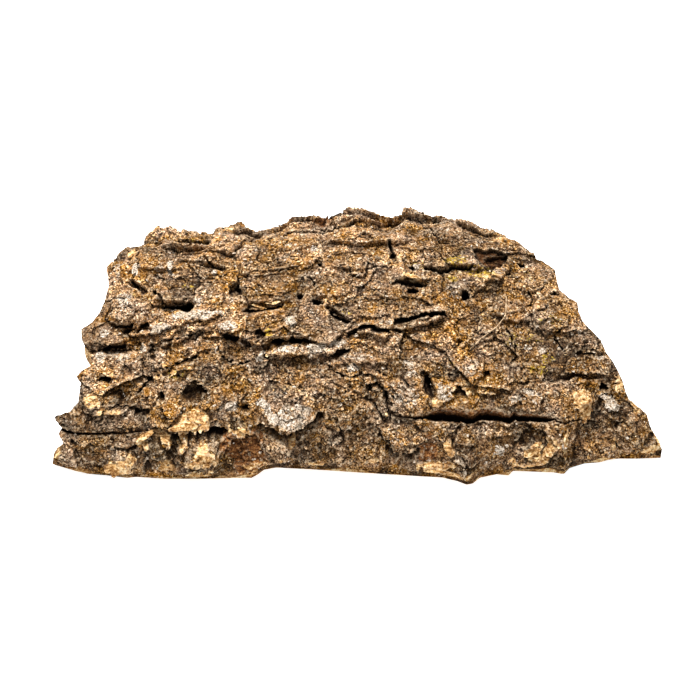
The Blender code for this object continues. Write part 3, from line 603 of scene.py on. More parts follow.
def relief(x, w):
    """Height of the bark over the even arch, its tone with painted light and shade, the painted shade in its
    holes, and its cracks.
    """
    warp_x = x + 7 * rough(x / 30.0, w / 22.0, 11, 2) + 1.2 * rough(x / 5.0, w / 5.0, 16, 2)
    long_w = np.interp(w, (0, 95, 170, 268), (0, 95, 150, 224))
    warp_w = long_w + 4 * rough(x / 26.0, w / 19.0, 12, 2) + 1.2 * rough(x / 5.0, w / 5.0, 17, 2)
    height = 3.8 + 2.0 * rough(x / 75.0, w / 42.0, 13, 2)
    tone = np.zeros(x.shape)
    for stretch, size, lift, slope, gap, seed, edge, share in (
        (1.2, 30.0, 1.3, 0.12, 0.7, 21, 0.03, 0.8), (1.1, 14.0, 0.5, 0.13, 0.5, 22, 0.05, 0.8),
        (1.0, 6.5, 0.2, 0.09, 0.25, 23, 0.08, 0.8),
    ):
        block, own = facets(warp_x / stretch, warp_w, size, lift, slope, gap, seed, edge)
        height = height + block * np.interp(w, (0, 205, 235), (1.0, 1.0, 1.9))
        tone = tone + share * own
    tone = tone + 0.35 * rough(x / 45.0, w / 22.0, 15, 2)
    height = height + 0.25 * rough(x / 9.0, w / 6.0, 14, 3)
    # Painted light and shade: the crust is made lighter towards the crest and darker towards the near rim.
    tone = tone + np.interp(w, (0, 25, 60, 100, 150, 190), (-0.32, -0.26, 0.0, 0.10, 0.02, 0.28))
    for points, lift, back in LEDGES:
        height = height + ledge(x, w, points, 0.85 * lift, back)
    for points, half_width, depth in FURROWS:
        height = height + 0.8 * furrow(x, w, points, half_width, depth)
    for at_x, at_w, half_x, half_w, depth in HOLLOWS:
        height = height + 0.3 * mound(x, w, at_x, at_w, half_x, half_w, -depth)
    for at_x, at_w, half_x, half_w, lift in KNOBS:
        height = height + mound(x, w, at_x, at_w, half_x, half_w, lift)
    torn_x, torn_w = torn(x, w, 3.3, 1.0, 1.5, 141)
    for near_lift, back_lift, light, _, corners in RAISED:
        here, inside, back = laid_out(x, w, torn_x, torn_w, corners)
        share = step(-0.3, 0.6, inside)
        height[here] += 1.35 * share * (near_lift + (back_lift - near_lift) * back)
        tone[here] = tone[here] * (1 - 0.6 * share) + 0.9 * light * share
    # Patches of weathered tone and of painted light and shade.
    for at_x, at_w, half_x, half_w, light in TONE_AND_LIGHT_PATCHES:
        away = np.hypot((torn_x - at_x) / half_x, (torn_w - at_w) / half_w)
        tone = tone + 0.9 * light * (1 - step(0.55, 1.35, away))
    height = np.clip(height, LOWEST_PLATE, HIGHEST_PLATE)
    for stations, first, last in ((RIGHT_CRACK, 22, 160), (LEFT_CRACK, -230, -134)):
        table = np.array(stations, float)
        line = (np.interp(x, table[:, 0], table[:, 1]) + np.interp(x, table[:, 0], table[:, 2])) / 2
        beside = np.exp(-(((w - line) / 6.0) ** 2)) * along_run(x, first, last, 8)
        height = height * (1 - 0.85 * beside) + 0.85 * beside * (4.0 + 0.5 * rough(x / 60.0, w * 0, 18, 1))
    height = height + fine_relief(x, w)
    # Painted shade: pits, slits and crack bottoms are marked to be coloured near black, pits most under their
    # back edge.
    deep = np.zeros(x.shape)
    for depth, corners in PITS:
        here, inside, back = laid_out(x, w, torn_x, torn_w, corners)
        height[here] -= depth * step(-0.1, 0.8, inside) * (0.3 + 0.7 * step(0.0, 0.6, back))
        dark = min(1.0, depth / 5.5) * step(-0.4, 0.3, inside) * (0.25 + 0.75 * step(0.05, 0.5, back))
        deep[here] = np.maximum(deep[here], dark)
    for half_width, depth, corners in SLITS:
        here = near_to(x, w, corners)
        cut = -furrow(torn_x[here], torn_w[here], corners, half_width, 1.0)
        height[here] -= depth * cut
        deep[here] = np.maximum(deep[here], cut)
    split = np.zeros(x.shape)
    for stations, depth, ends in ((RIGHT_CRACK, 12.0, (18, 166)), (LEFT_CRACK, 8.0, (-230, -134))):
        cut, gap = crack(x, w, stations, depth, ends)
        split = split + cut
        deep = np.maximum(deep, gap)
    return np.maximum(height, DEEPEST), tone, deep, split


def along_arc():
    """Angle round the even arch, by distance round it from the near rim."""
    angle = np.linspace(0, np.pi, ARC_STEPS)
    reach = np.where(angle < np.pi / 2, NEAR_REACH, FAR_REACH)
    y = -reach * np.cos(angle)
    z = CREST * np.sin(angle)
    return angle, np.concatenate([[0], np.cumsum(np.hypot(np.diff(y), np.diff(z)))])


ANGLE, ROUND = along_arc()
ROUND_TOTAL = ROUND[-1]


def table_at(table, value):
    """A value read from a table of pairs."""
    pairs = np.array(table, float)
    return np.interp(value, pairs[:, 0], pairs[:, 1])


def smoothed(table, value, reach):
    """The same table averaged over a reach either way."""
    return sum(table_at(table, value + reach * part) for part in (-1, -0.66, -0.33, 0, 0.33, 0.66, 1)) / 7


def on_arch(x, w, above):
    """A place over the arch: along the slab, round it, and above the even surface."""
    angle = np.interp(w, ROUND, ANGLE)
    near = NEAR_REACH + table_at(NEAR_RIM, x)
    far = FAR_REACH + table_at(FAR_RIM, x)
    reach = np.where(angle < np.pi / 2, near, far)
    crest = CREST + table_at(CREST_ALONG, x)
    out_y = -np.cos(angle) / reach
    out_z = np.sin(angle) / crest
    length = np.hypot(out_y, out_z)
    y = -reach * np.cos(angle) + above * out_y / length - NEAR_LIP * np.exp(-w / NEAR_LIP_REACH)
    z = crest * np.sin(angle) + above * out_z / length
    return x + TO_MIDDLE_X, y + TO_MIDDLE_Y, z


def pads(x, places):
    """1 over the low places of a rim and 0 between them."""
    low = np.zeros(x.shape)
    for middle, length in places:
        low = np.maximum(low, 1 - step(0.5 * length, 1.4 * length, np.abs(x - middle)))
    return low


def settled(x, z, w):
    """The height of a point once the slab stands on its three low places."""
    share = w / ROUND_TOTAL
    low = pads(x, NEAR_PADS) * step(0.4, 0.6, 1 - share) + pads(x, FAR_PADS) * step(0.4, 0.6, share)
    z = z + PAD_LIFT - (PAD_LIFT + PAD_SINK) * low * np.exp(-z / 8.0)
    return np.maximum(z, 0.0)


# The upper edge as the photograph shows it: (along, how far it stands up in the view), and how much of that
# the plates on the ridge make by themselves.
UPPER_EDGE = (
    (-144, 80), (-140, 77), (-135, 80), (-124, 76), (-104, 77), (-102, 82), (-91, 84), (-84, 81), (-78, 80),
    (-70, 76), (-54, 80), (-47, 87), (-32, 88), (-24, 85), (-22, 88), (-14, 91), (0, 92), (7, 90), (19, 85),
    (24, 86), (32, 91), (52, 89), (64, 90), (68, 88), (81, 84), (88, 81), (97, 81), (104, 81), (112, 78),
)
RIDGE_PLATES = 6.0


def ridge_lift(x, w):
    """How far the ridge is raised or lowered to give the upper edge the photograph's steps and notches."""
    high = (CREST + table_at(CREST_ALONG, x)) * math.cos(CAMERA_HEIGHT_ANGLE)
    back = (FAR_REACH + table_at(FAR_RIM, x)) * math.sin(CAMERA_HEIGHT_ANGLE)
    lift = table_at(UPPER_EDGE, x) - np.hypot(high, back) - RIDGE_PLATES
    return lift * step(176.0, 200.0, w) * (1 - step(240.0, 256.0, w))


def rim_fade(w):
    """0 at both rims and 1 from a few millimetres in."""
    return step(0.0, 9.0, w) * step(0.0, 8.0, ROUND_TOTAL - w)


def bark_height(x, w, from_left, from_right):
    """Relief of the crust, rolled down at the ends and faded at the rims, with tones and painted light, holes
    with painted shade, and cracks.
    """
    fade = rim_fade(w)
    rolled = 2.8 * np.exp(-from_left / 4.0) + 2.8 * np.exp(-from_right / 4.0)
    height, tone, deep, split = relief(x, w)
    ragged = x + 0.7 * swell(x / 3.0, w / 9.0, 161) + 0.5 * swell(x / 1.3, w / 4.0, 162)
    return (height + ridge_lift(ragged, w) - rolled) * fade, tone, deep * step(1.0, 5.0, w), split * fade


def leaned(w, above):
    """Lifted bark leans towards the near rim and sunk bark away from it, so that plate edges overhang."""
    return w - np.clip(0.6 * (above - 3.0), -6.0, 8.0) * step(8.0, 30.0, w) * step(8.0, 30.0, ROUND_TOTAL - w)


def slab_place(u, w, t, top=None):
    """Where a point of the slab lies: u along it, w round from the near rim, t from the hollow side out."""
    left = smoothed(LEFT_END, w, END_ROUNDING)
    right = smoothed(RIGHT_END, w, END_ROUNDING)
    x = left + u * (right - left)
    from_left = x - left
    from_right = right - x
    middle = np.sin(np.pi * t)
    layers = 0.6 * swell(t * 9.0, w * 0.0, 35) + 0.5 * swell(w / 1.7, t * 7.0, 36)
    left_jag = table_at(LEFT_END, w) - left + middle * (1.6 * swell(w / 6.0, t * 5.0, 31) + 1.5 + layers)
    right_jag = table_at(RIGHT_END, w) - right + middle * (1.6 * swell(w / 6.0, t * 5.0, 32) - 1.5 - layers)
    x = x + left_jag * np.exp(-from_left / 15.0) + right_jag * np.exp(-from_right / 15.0)
    shown = None
    lean_w = w
    if top is None:
        height, tone, deep, split = bark_height(x, w, from_left, from_right)
        lean_w = leaned(w, height)
        top = np.maximum(height + split, LOWEST_CUT)
        shown = (top, tone, deep, step(0.4, 1.6, -split))
    thick = table_at(THICKNESS, w) + 0.8 * rough(x / 60.0, w / 30.0, 41, 2) * rim_fade(w)
    above = t * (top + thick) - thick
    x, y, z = on_arch(x, w + t * (lean_w - w), above)
    edge_jag = middle * (swell(x / 7.0, t * 4.0, 33) + 0.4 * swell(x / 1.6, t * 6.0, 34))
    y = y + edge_jag * (1.2 * step(0.97, 1.0, w / ROUND_TOTAL) - 0.5 * step(0.97, 1.0, 1 - w / ROUND_TOTAL))
    return np.stack([x, y, settled(x, z, w)], -1), shown


# Weathered tone and painted light and shade, as patches lighter or darker than the crust round them: (along,
# round, half sizes, how much).
TONE_AND_LIGHT_PATCHES = (
    (14, 202, 16, 14, 0.8), (-45, 205, 25, 10, 0.25), (62, 178, 8, 12, 0.3), (93, 136, 8, 8, 0.3),
    (-5, 173, 8, 14, 0.35), (28, 172, 7, 14, 0.4), (90, 163, 8, 14, 0.5), (-131, 150, 7, 8, 0.4),
    (-148, 133, 6, 7, 0.35), (-105, 165, 9, 12, 0.25), (112, 155, 9, 8, 0.35), (77, 127, 10, 8, 0.35),
    (38, 134, 8, 6, 0.3), (-8, 125, 12, 6, 0.2), (-48, 118, 20, 6, 0.2), (-155, 87, 14, 6, 0.5),
    (-128, 92, 10, 6, 0.45), (-104, 88, 22, 6, 0.65), (-84, 85, 8, 9, 0.5), (-57, 87, 6, 6, 0.3),
    (-155, 60, 18, 8, 0.5), (-108, 60, 7, 5, 0.4), (-82, 44, 7, 6, 0.35), (-30, 70, 18, 5, 0.3),
    (10, 55, 22, 7, 0.25), (50, 97, 10, 5, 0.3), (78, 65, 9, 8, 0.4), (128, 63, 8, 5, 0.4),
    (150, 60, 16, 4, 0.3), (150, 15, 14, 8, 0.35), (168, 8, 10, 6, 0.3), (190, 27, 7, 8, 0.4),
    (-125, 34, 16, 5, 0.3), (-45, 24, 18, 5, 0.2), (135, 105, 6, 8, 0.25), (-97, 133, 7, 6, -0.45),
    (-110, 137, 6, 9, -0.3), (-45, 145, 13, 8, -0.2), (-28, 133, 8, 6, -0.2), (-5, 112, 14, 8, -0.35),
    (30, 95, 10, 7, -0.4), (22, 140, 7, 14, -0.3), (28, 120, 8, 7, -0.35), (55, 137, 6, 8, -0.3),
    (-65, 101, 16, 7, -0.35), (-95, 105, 14, 5, -0.3), (-135, 107, 9, 5, -0.4), (-25, 111, 6, 5, -0.3),
    (-25, 90, 7, 5, -0.3), (2, 90, 12, 4, -0.3), (132, 121, 8, 7, -0.5), (143, 103, 6, 6, -0.35),
    (50, 129, 8, 7, -0.3), (-115, 202, 14, 14, -0.45), (34, 196, 7, 12, -0.2), (75, 178, 8, 24, -0.2),
    (100, 188, 7, 12, -0.25), (-143, 165, 6, 12, -0.2), (-165, 158, 5, 12, -0.25), (98, 67, 11, 9, -0.4),
    (-110, 50, 10, 5, -0.6), (-123, 43, 9, 4, -0.5), (-100, 38, 8, 5, -0.5), (-40, 42, 9, 5, -0.3),
    (-15, 42, 6, 5, -0.3), (8, 25, 16, 6, -0.55), (28, 13, 8, 5, -0.3), (40, 17, 7, 6, -0.55),
    (55, 9, 8, 4, -0.3), (72, 18, 9, 12, -0.6), (108, 32, 9, 9, -0.4), (-98, 8, 20, 5, -0.6),
    (-66, 8, 10, 6, -0.4), (-128, 21, 9, 7, -0.7), (-110, 13, 8, 4, -0.5), (-72, 12, 14, 8, -0.3),
    (8, 122, 10, 12, -0.3), (150, 42, 9, 8, -0.25), (62, 36, 20, 5, -0.2), (20, 76, 10, 6, -0.2),
)


COLUMNS = 600
THICK_ROWS = 6
BELLY_SKIP = 5
NEAR_TO = 97.0
CROWN_TO = 180.0

# Rows of points round the arch, close together where the bark faces up and wider apart on the far side.
row_places = np.concatenate([
    np.arange(0, NEAR_TO, 0.68), np.arange(NEAR_TO, CROWN_TO, 0.74),
    np.arange(CROWN_TO, ROUND_TOTAL - 0.5, 1.35), [ROUND_TOTAL],
])
while (len(row_places) - 1) % BELLY_SKIP:
    row_places = np.delete(row_places, -2)
rows = len(row_places)
column_places = np.linspace(0, 1, COLUMNS + 1)
grid_u, grid_w = np.meshgrid(column_places, row_places, indexing="ij")
crust, (tops, tones, holes, walls) = slab_place(grid_u, grid_w, np.ones(grid_u.shape))


def square_faces(grid):
    """Faces with four corners over a grid of point numbers."""
    return np.stack([grid[:-1, :-1], grid[1:, :-1], grid[1:, 1:], grid[:-1, 1:]], -1).reshape(-1, 4)


def crust_strip(first, last):
    """The crust between two rows: its points and faces."""
    strip = crust[:, first:last + 1]
    numbers = np.arange(strip.shape[0] * strip.shape[1]).reshape(strip.shape[:2])
    return strip.reshape(-1, 3), square_faces(numbers)


# Where the crust has broken away to tan cork, where lichen bleaches it, where fibres show red-brown and where
# moss grows: outlines, and spots as (along, round, half length, half width, strength).
TAN_SHAPES = (
    ((-112.5, 19), (-108, 24), (-103, 28), (-97, 28), (-93.5, 25), (-91, 20), (-92, 15), (-98, 14.5),
     (-107, 14.5), (-112, 15.7)),
    ((-77, 8), (-70, 9.5), (-60, 8), (-58, 6.5), (-66, 7), (-76, 6)),
    ((-74, 4.5), (-66, 4.8), (-60, 4.2), (-64, 3.2), (-72, 3.2)),
    ((-33.4, 6.3), (-29.5, 8.2), (-23.5, 8.5), (-22, 5.7), (-27.5, 4.3), (-32.8, 4.6)),
    ((-88, 33), (-84, 34.5), (-82, 31), (-79, 33), (-75, 33), (-71, 31), (-72, 26), (-77, 27), (-81, 29.5),
     (-85, 29)),
    ((22, 24), (23, 30), (28, 31), (31, 26), (27, 21)),
    ((171, 52), (172, 61), (175.5, 58), (176, 49), (173, 47)),
    ((180, 44), (184, 44), (188, 35), (186, 31), (182, 36)),
    ((189, 3), (190, 11), (195, 12), (201, 9), (203, 4)),
    ((48, 43.5), (49, 48.5), (54, 49.5), (57, 46), (53, 44)),
    ((28, 133), (30, 140), (36, 141.5), (42, 136), (42, 132), (36, 134), (31, 134)),
) + tuple(corners for *_, finish, corners in RAISED if finish == "tan")
TAN_SPOTS = (
    (-123, 68, 2.4, 2.0, 1.0), (-111.5, 71, 2.0, 2.0, 1.0), (10, 10.5, 4, 1.8, 1.0), (-44, 20, 2.5, 3, 1.0),
    (-50, 10, 3, 2, 0.9), (-165, 43, 10, 2.5, 0.8), (-176, 49, 6, 5, 0.75), (-10, 228, 14, 8, 1.0),
    (86, 142, 12, 4, 0.6), (96, 190, 9, 8, 0.6), (-94, 213, 7, 5, 0.7), (70, 214, 13, 5, 0.5),
    (-156, 168, 3, 9, 0.8), (116, 16, 6, 6, 0.9), (128, 22, 4, 4, 0.8), (60, 11, 4, 3, 1.0),
    (40, 8, 2, 5, 0.9), (170, 12, 2, 7, 0.7), (137, 18, 2, 9, 0.7), (62, 148, 10, 10, 0.45),
    (-40, 52, 20, 4, 0.45), (74, 58, 12, 6, 0.5), (26, 152, 5, 9, 0.5), (-150, 14, 4, 4, 0.8),
    (-142, 24, 4, 4, 0.9),
)
PALE_SHAPES = (
    ((-139, 96), (-137, 101), (-130, 103), (-124, 101), (-127, 97)),
    ((-34, 77), (-32, 82), (-27, 84), (-22, 82), (-23, 77), (-29, 76)),
    ((-20, 82), (-16, 85.5), (-10, 86), (-9, 83), (-15, 81)),
    ((-7, 63), (-7, 69), (-2, 69.5), (-0.5, 64.5), (-4, 63)),
    ((-65.6, 47.2), (-60.4, 44.4), (-55, 39.3), (-51, 35.5), (-48.5, 30.8), (-53.7, 31.2), (-59, 35),
     (-63.6, 40.6)),
    ((-88, 41.5), (-86, 44), (-81, 49), (-79, 47), (-81, 43)),
    ((-109, 20), (-104.6, 24), (-99.4, 26), (-95, 25), (-93.8, 21), (-98, 17.5), (-103.4, 16),
     (-108, 16.5)),
    ((-127, 31), (-122.6, 28), (-122.8, 25), (-125, 26), (-128, 29.5)),
    ((-86.4, 34), (-83.8, 33.6), (-83, 29), (-85, 29.5)),
    ((-83, 32), (-81, 31.6), (-79.8, 27), (-82, 27.6)),
    ((-74.6, 31.8), (-71.3, 32.4), (-70, 29.4), (-72, 27), (-74.6, 29)),
    ((90, 15), (91, 19.5), (96, 19), (96.5, 14), (92, 13)),
    ((-68, 72), (-67, 78), (-63, 79), (-62, 72), (-65, 70.5)),
    ((-131, 160), (-128, 160), (-127, 148), (-124, 142), (-129, 143), (-131, 150)),
    ((-155, 156), (-151, 158), (-150, 144), (-153, 142)),
    ((-111, 118), (-110, 123), (-106, 123.5), (-105, 119), (-108, 117)),
    ((37, 144), (37.5, 151), (40.5, 150.5), (41, 144)),
    ((100, 45), (101, 50), (105, 50.5), (107, 47.5), (104, 45)),
    ((-47, 96), (-47, 103), (-43, 105), (-41, 99), (-44, 96)),
) + tuple(corners for *_, finish, corners in RAISED if finish == "pale")
PALE_SPOTS = (
    (-170, 96.5, 3.5, 3.5, 1.0), (-172, 79, 3, 4, 0.9), (-143.5, 85, 3, 3.5, 0.9),
    (-125, 114.5, 3, 2.5, 1.0), (113, 84, 3, 2.2, 1.0), (122, 82.5, 3, 2.5, 0.8), (-43, 36, 14, 8, 0.6),
    (-110, 109, 20, 4.5, 0.7), (-160, 80, 12, 5, 0.5), (-48, 79, 12, 3.5, 0.65), (30, 50, 13, 10, 0.5),
    (57, 54, 6, 6, 0.55), (-158, 122, 7, 8, 0.6), (-165, 150, 3, 8, 0.5), (-31, 166, 2.5, 3, 1.0),
    (-38.5, 190, 2, 2.5, 1.0), (57.5, 192, 1.8, 3, 1.0), (61.5, 188, 1.5, 2, 1.0), (-48, 172, 3, 2, 0.8),
    (-98, 145, 2, 3, 1.0), (0, 75, 16, 3, 0.5), (32, 69, 4, 3, 0.6), (36, 64, 6, 2.5, 0.6),
    (18, 99, 6, 3, 0.5), (52, 110, 8, 3, 0.5), (-65, 45, 3, 3, 0.8), (-85, 100, 6, 4, 0.6),
    (-137, 152, 4, 8, 0.55), (118, 52, 5, 3, 0.5), (112, 53, 4, 2, 0.7), (64, 130, 5, 8, 0.5),
    (96, 148, 6, 6, 0.5), (74, 72, 7, 6, 0.45), (160, 74, 6, 2, 0.55), (-12, 44, 10, 6, 0.35),
    (66, 15, 3, 3, 0.5), (-6, 30, 3, 3, 0.7), (148, 95, 2, 3, 0.7),
)
RED_SHAPES = (
    ((-89, 30.3), (-82.5, 28), (-74, 27.6), (-66.8, 29), (-63, 23), (-63.6, 17.7), (-62, 12.7), (-58, 6),
     (-63, 3), (-69.6, 2.6), (-79, 3.3), (-82, 12), (-88, 18), (-90, 23.6)),
    ((82, 168), (86, 166), (92, 169), (98, 168), (101, 165), (99, 158), (95, 155), (90, 151), (86, 153),
     (82, 158)),
    ((40, 14), (39, 21), (46, 23), (52, 21), (52, 14), (46, 13)),
    ((110, 154), (112, 158.5), (114, 156), (113, 153.5)),
)
RED_SPOTS = (
    (-24, 212, 8, 10, 0.9), (36, 125, 5, 2, 0.7), (-135, 190, 6, 4, 0.5), (46, 27, 5, 2, 0.6),
    (98, 104, 6, 3, 0.4),
)
MOSS_SPOTS = (
    (125, 76, 6, 4, 0.5), (103, 88, 6, 4, 0.5), (80, 146, 12, 7, 1.0), (66, 156, 9, 7, 0.8),
    (64, 138, 4, 4, 0.7), (-122, 66, 6, 4, 0.45), (112, 94, 16, 6, 0.4), (120, 68, 8, 5, 0.5),
    (-60, 92, 3, 3, 0.7), (40, 148, 6, 5, 0.5), (-115, 133, 4, 4, 0.5), (-8, 108, 6, 4, 0.4),
    (110, 144, 12, 10, 0.35), (-118, 205, 6, 8, 0.5), (-152, 127, 4, 4, 0.4), (62, 72, 4, 4, 0.5),
    (128, 106, 12, 6, 0.35),
)
MOSS_SEED = 133


def zone(x, w, places, seed):
    """How strongly the crust at a place belongs to one of these spots."""
    share = np.zeros(x.shape)
    uneven = 0.35 * rough(x / 6.0, w / 4.5, seed, 4)
    for at_x, at_w, half_x, half_w, strength in places:
        away = np.hypot((x - at_x) / half_x, (w - at_w) / half_w)
        share = np.maximum(share, strength * (1 - step(0.6, 1.2, away + uneven)))
    return share


def covered(x, w, outlines):
    """1 inside these outlines, with ragged edges."""
    share = np.zeros(x.shape)
    torn_x, torn_w = torn(x, w, 3.0, 1.3, 1.3, 151)
    for corners in outlines:
        here = near_to(x, w, corners)
        share[here] = np.maximum(share[here], step(-0.9, 0.9, inside_by(torn_x[here], torn_w[here], corners)))
    return share


def averaged(field, reach):
    """Each value's average over the values around it."""
    for axis in (0, 1):
        spread = [(reach, reach) if axis == side else (0, 0) for side in (0, 1)]
        sums = np.cumsum(np.pad(field, spread, mode="edge"), axis=axis)
        sums = np.insert(sums, 0, 0, axis=axis)
        size = 2 * reach + 1
        count = sums.shape[axis]
        field = (np.take(sums, range(size, count), axis) - np.take(sums, range(count - size), axis)) / size
    return field


def marks(x, w, rim, sunk, proud, tone, deep, wall):
    """The two layers of marks that the crust's finish reads: what shows where, and painted shade and light,
    wear and tone.
    """
    tan = np.maximum(covered(x, w, TAN_SHAPES) * (1 - 0.6 * wall), zone(x, w, TAN_SPOTS, 131) * (1 - wall))
    shown = np.stack([
        np.maximum(tan, rim),
        np.maximum(covered(x, w, PALE_SHAPES), zone(x, w, PALE_SPOTS, 132)),
        zone(x, w, MOSS_SPOTS, MOSS_SEED),
        np.maximum(np.maximum(covered(x, w, RED_SHAPES), zone(x, w, RED_SPOTS, 134)), wall),
    ], -1)
    painted_shade_wear_tone = np.stack([np.clip(part, 0, 1) for part in (sunk, proud, 0.5 + 0.5 * tone)] + [deep], -1)
    return shown, painted_shade_wear_tone


# Painted shade, darker the more a spot lies sunk below the crust round it, over three reaches: (points either
# way, depth, share).
RECESS_SHADE_REACHES = ((3, 1.8, 0.5), (8, 4.0, 0.6), (22, 8.0, 0.5))
crust_x = crust[..., 0]
sunk = sum(share * np.clip((averaged(tops, far) - tops) / low, 0, 1) for far, low, share in RECESS_SHADE_REACHES)
proud = np.clip((tops - averaged(tops, 3)) / 0.9, 0, 1)
rim = 0.9 * (1 - step(0.6, 1.8, grid_w + 1.6 * swell(crust_x / 9.0, grid_w * 0, 121)))
shown, painted_shade_wear_tone = marks(crust_x, grid_w, rim, sunk, proud, tones, holes, walls)


def node(tree, kind, inputs=(), **settings):
    """One node: settings are its own, inputs are values or other nodes' outputs."""
    made = tree.nodes.new(kind)
    for key, value in settings.items():
        setattr(made, key, value)
    for place, value in dict(inputs).items():
        if isinstance(value, bpy.types.NodeSocket):
            tree.links.new(value, made.inputs[place])
        else:
            made.inputs[place].default_value = value
    return made


def grain(tree, where, size, detail=4.0, roughness=0.6, seed=0.0):
    """Noise whose patches are about size millimetres across."""
    made = {"Vector": where, "W": seed, "Scale": 1 / (size * MM), "Detail": detail, "Roughness": roughness}
    return node(tree, "ShaderNodeTexNoise", made, noise_dimensions="4D").outputs["Fac"]


def stirred(tree, where, size):
    """Coordinates pushed about in every direction, by up to about half of size millimetres."""
    noise = node(tree, "ShaderNodeTexNoise", {"Vector": where, "Scale": 1 / (size * MM), "Detail": 2.0})
    parts = {0: noise.outputs["Color"], 1: (0.5, 0.5, 0.5)}
    centred = node(tree, "ShaderNodeVectorMath", parts, operation="SUBTRACT").outputs[0]
    parts = {0: centred, "Scale": 1.6 * size * MM}
    push = node(tree, "ShaderNodeVectorMath", parts, operation="SCALE").outputs[0]
    return node(tree, "ShaderNodeVectorMath", {0: where, 1: push}, operation="ADD").outputs[0]


def cells(tree, where, size):
    """A random number for each small cell of about size millimetres."""
    picture = node(tree, "ShaderNodeTexVoronoi", {"Vector": where, "Scale": 1 / (size * MM)})
    return node(tree, "ShaderNodeSeparateColor", {"Color": picture.outputs["Color"]}).outputs["Red"]


def times(tree, first, second):
    """One value times another."""
    return node(tree, "ShaderNodeMath", {0: first, 1: second}, operation="MULTIPLY").outputs[0]


def plus(tree, first, second):
    """One value and another."""
    return node(tree, "ShaderNodeMath", {0: first, 1: second}, operation="ADD").outputs[0]


def sums(tree, *parts):
    """Values times their shares, added up."""
    total = None
    for value, share in parts:
        scaled = times(tree, value, share)
        total = scaled if total is None else plus(tree, total, scaled)
    return total


def moved(tree, value, low, high, to_low, to_high, way="LINEAR"):
    """A value between low and high moved to lie between two others, and held there past them."""
    ends = {"Value": value, "From Min": low, "From Max": high, "To Min": to_low, "To Max": to_high}
    return node(tree, "ShaderNodeMapRange", ends, interpolation_type=way).outputs["Result"]


def between(tree, value, low, high):
    """0 at low, 1 at high and an even curve between."""
    return moved(tree, value, low, high, 0.0, 1.0, "SMOOTHSTEP")


def ramp(tree, value, stops):
    """Colours laid along a value."""
    made = node(tree, "ShaderNodeValToRGB", {"Fac": value})
    bands = made.color_ramp
    while len(bands.elements) < len(stops):
        bands.elements.new(0.5)
    for element, (place, colour) in zip(bands.elements, stops):
        element.position = place
        element.color = (*colour, 1.0)
    return made.outputs["Color"]


def mixed(tree, share, first, second, way="MIX"):
    """The first colour with a share of the second."""
    made = node(tree, "ShaderNodeMix", {0: share}, data_type="RGBA", blend_type=way)
    for place, value in ((6, first), (7, second)):
        if isinstance(value, bpy.types.NodeSocket):
            tree.links.new(value, made.inputs[place])
        else:
            made.inputs[place].default_value = (*value, 1.0)
    return made.outputs[2]


def stretched(tree, where, along, across):
    """Coordinates squeezed so that noise runs out along the grain."""
    scale = (along, across, across)
    return node(tree, "ShaderNodeMapping", {"Vector": where, "Scale": scale}).outputs["Vector"]


def finish_of(name):
    """A material, its node tree, its shader and the piece's own coordinates."""
    made = bpy.data.materials.new(name)
    made.use_nodes = True
    tree = made.node_tree
    shader = tree.nodes["Principled BSDF"]
    shader.inputs["Specular IOR Level"].default_value = 0.06
    where = node(tree, "ShaderNodeTexCoord").outputs["Object"]
    return made, tree, shader, where


def bumped(tree, shader, value, distance, strength):
    """Fine relief from a value, distance in millimetres."""
    made = node(tree, "ShaderNodeBump", {"Height": value, "Distance": distance * MM, "Strength": strength})
    tree.links.new(made.outputs["Normal"], shader.inputs["Normal"])


SPECK_AND_SHADE_BROWN = (0.011, 0.0050, 0.0021)
CREAM = (0.66, 0.50, 0.33)
HOLE_SHADE_BLACK = (0.0045, 0.0018, 0.0007)
CRACKLE = 5.0
CRUST_STOPS = (
    (0.34, (0.013, 0.0052, 0.0019)), (0.42, (0.080, 0.0368, 0.0136)), (0.50, (0.228, 0.121, 0.053)),
    (0.57, (0.41, 0.238, 0.112)), (0.67, (0.82, 0.56, 0.31)),
)
TAN_STOPS = (
    (0.39, (0.040, 0.013, 0.003)), (0.45, (0.34, 0.150, 0.042)), (0.50, (0.68, 0.40, 0.150)),
    (0.56, (0.96, 0.78, 0.48)),
)
STAINED_STOPS = ((0.40, (0.022, 0.007, 0.002)), (0.48, (0.20, 0.080, 0.021)), (0.56, (0.58, 0.29, 0.085)))
LICHEN_STOPS = (
    (0.37, (0.06, 0.038, 0.022)), (0.44, (0.26, 0.195, 0.135)), (0.50, (0.48, 0.39, 0.30)),
    (0.58, (0.80, 0.71, 0.60)),
)
FIBRE_STOPS = (
    (0.41, (0.010, 0.0034, 0.0011)), (0.48, (0.085, 0.029, 0.008)), (0.54, (0.26, 0.100, 0.029)),
    (0.60, (0.60, 0.33, 0.13)),
)
MOSS_STOPS = ((0.36, (0.08, 0.045, 0.006)), (0.50, (0.36, 0.225, 0.024)), (0.64, (0.66, 0.46, 0.06)))


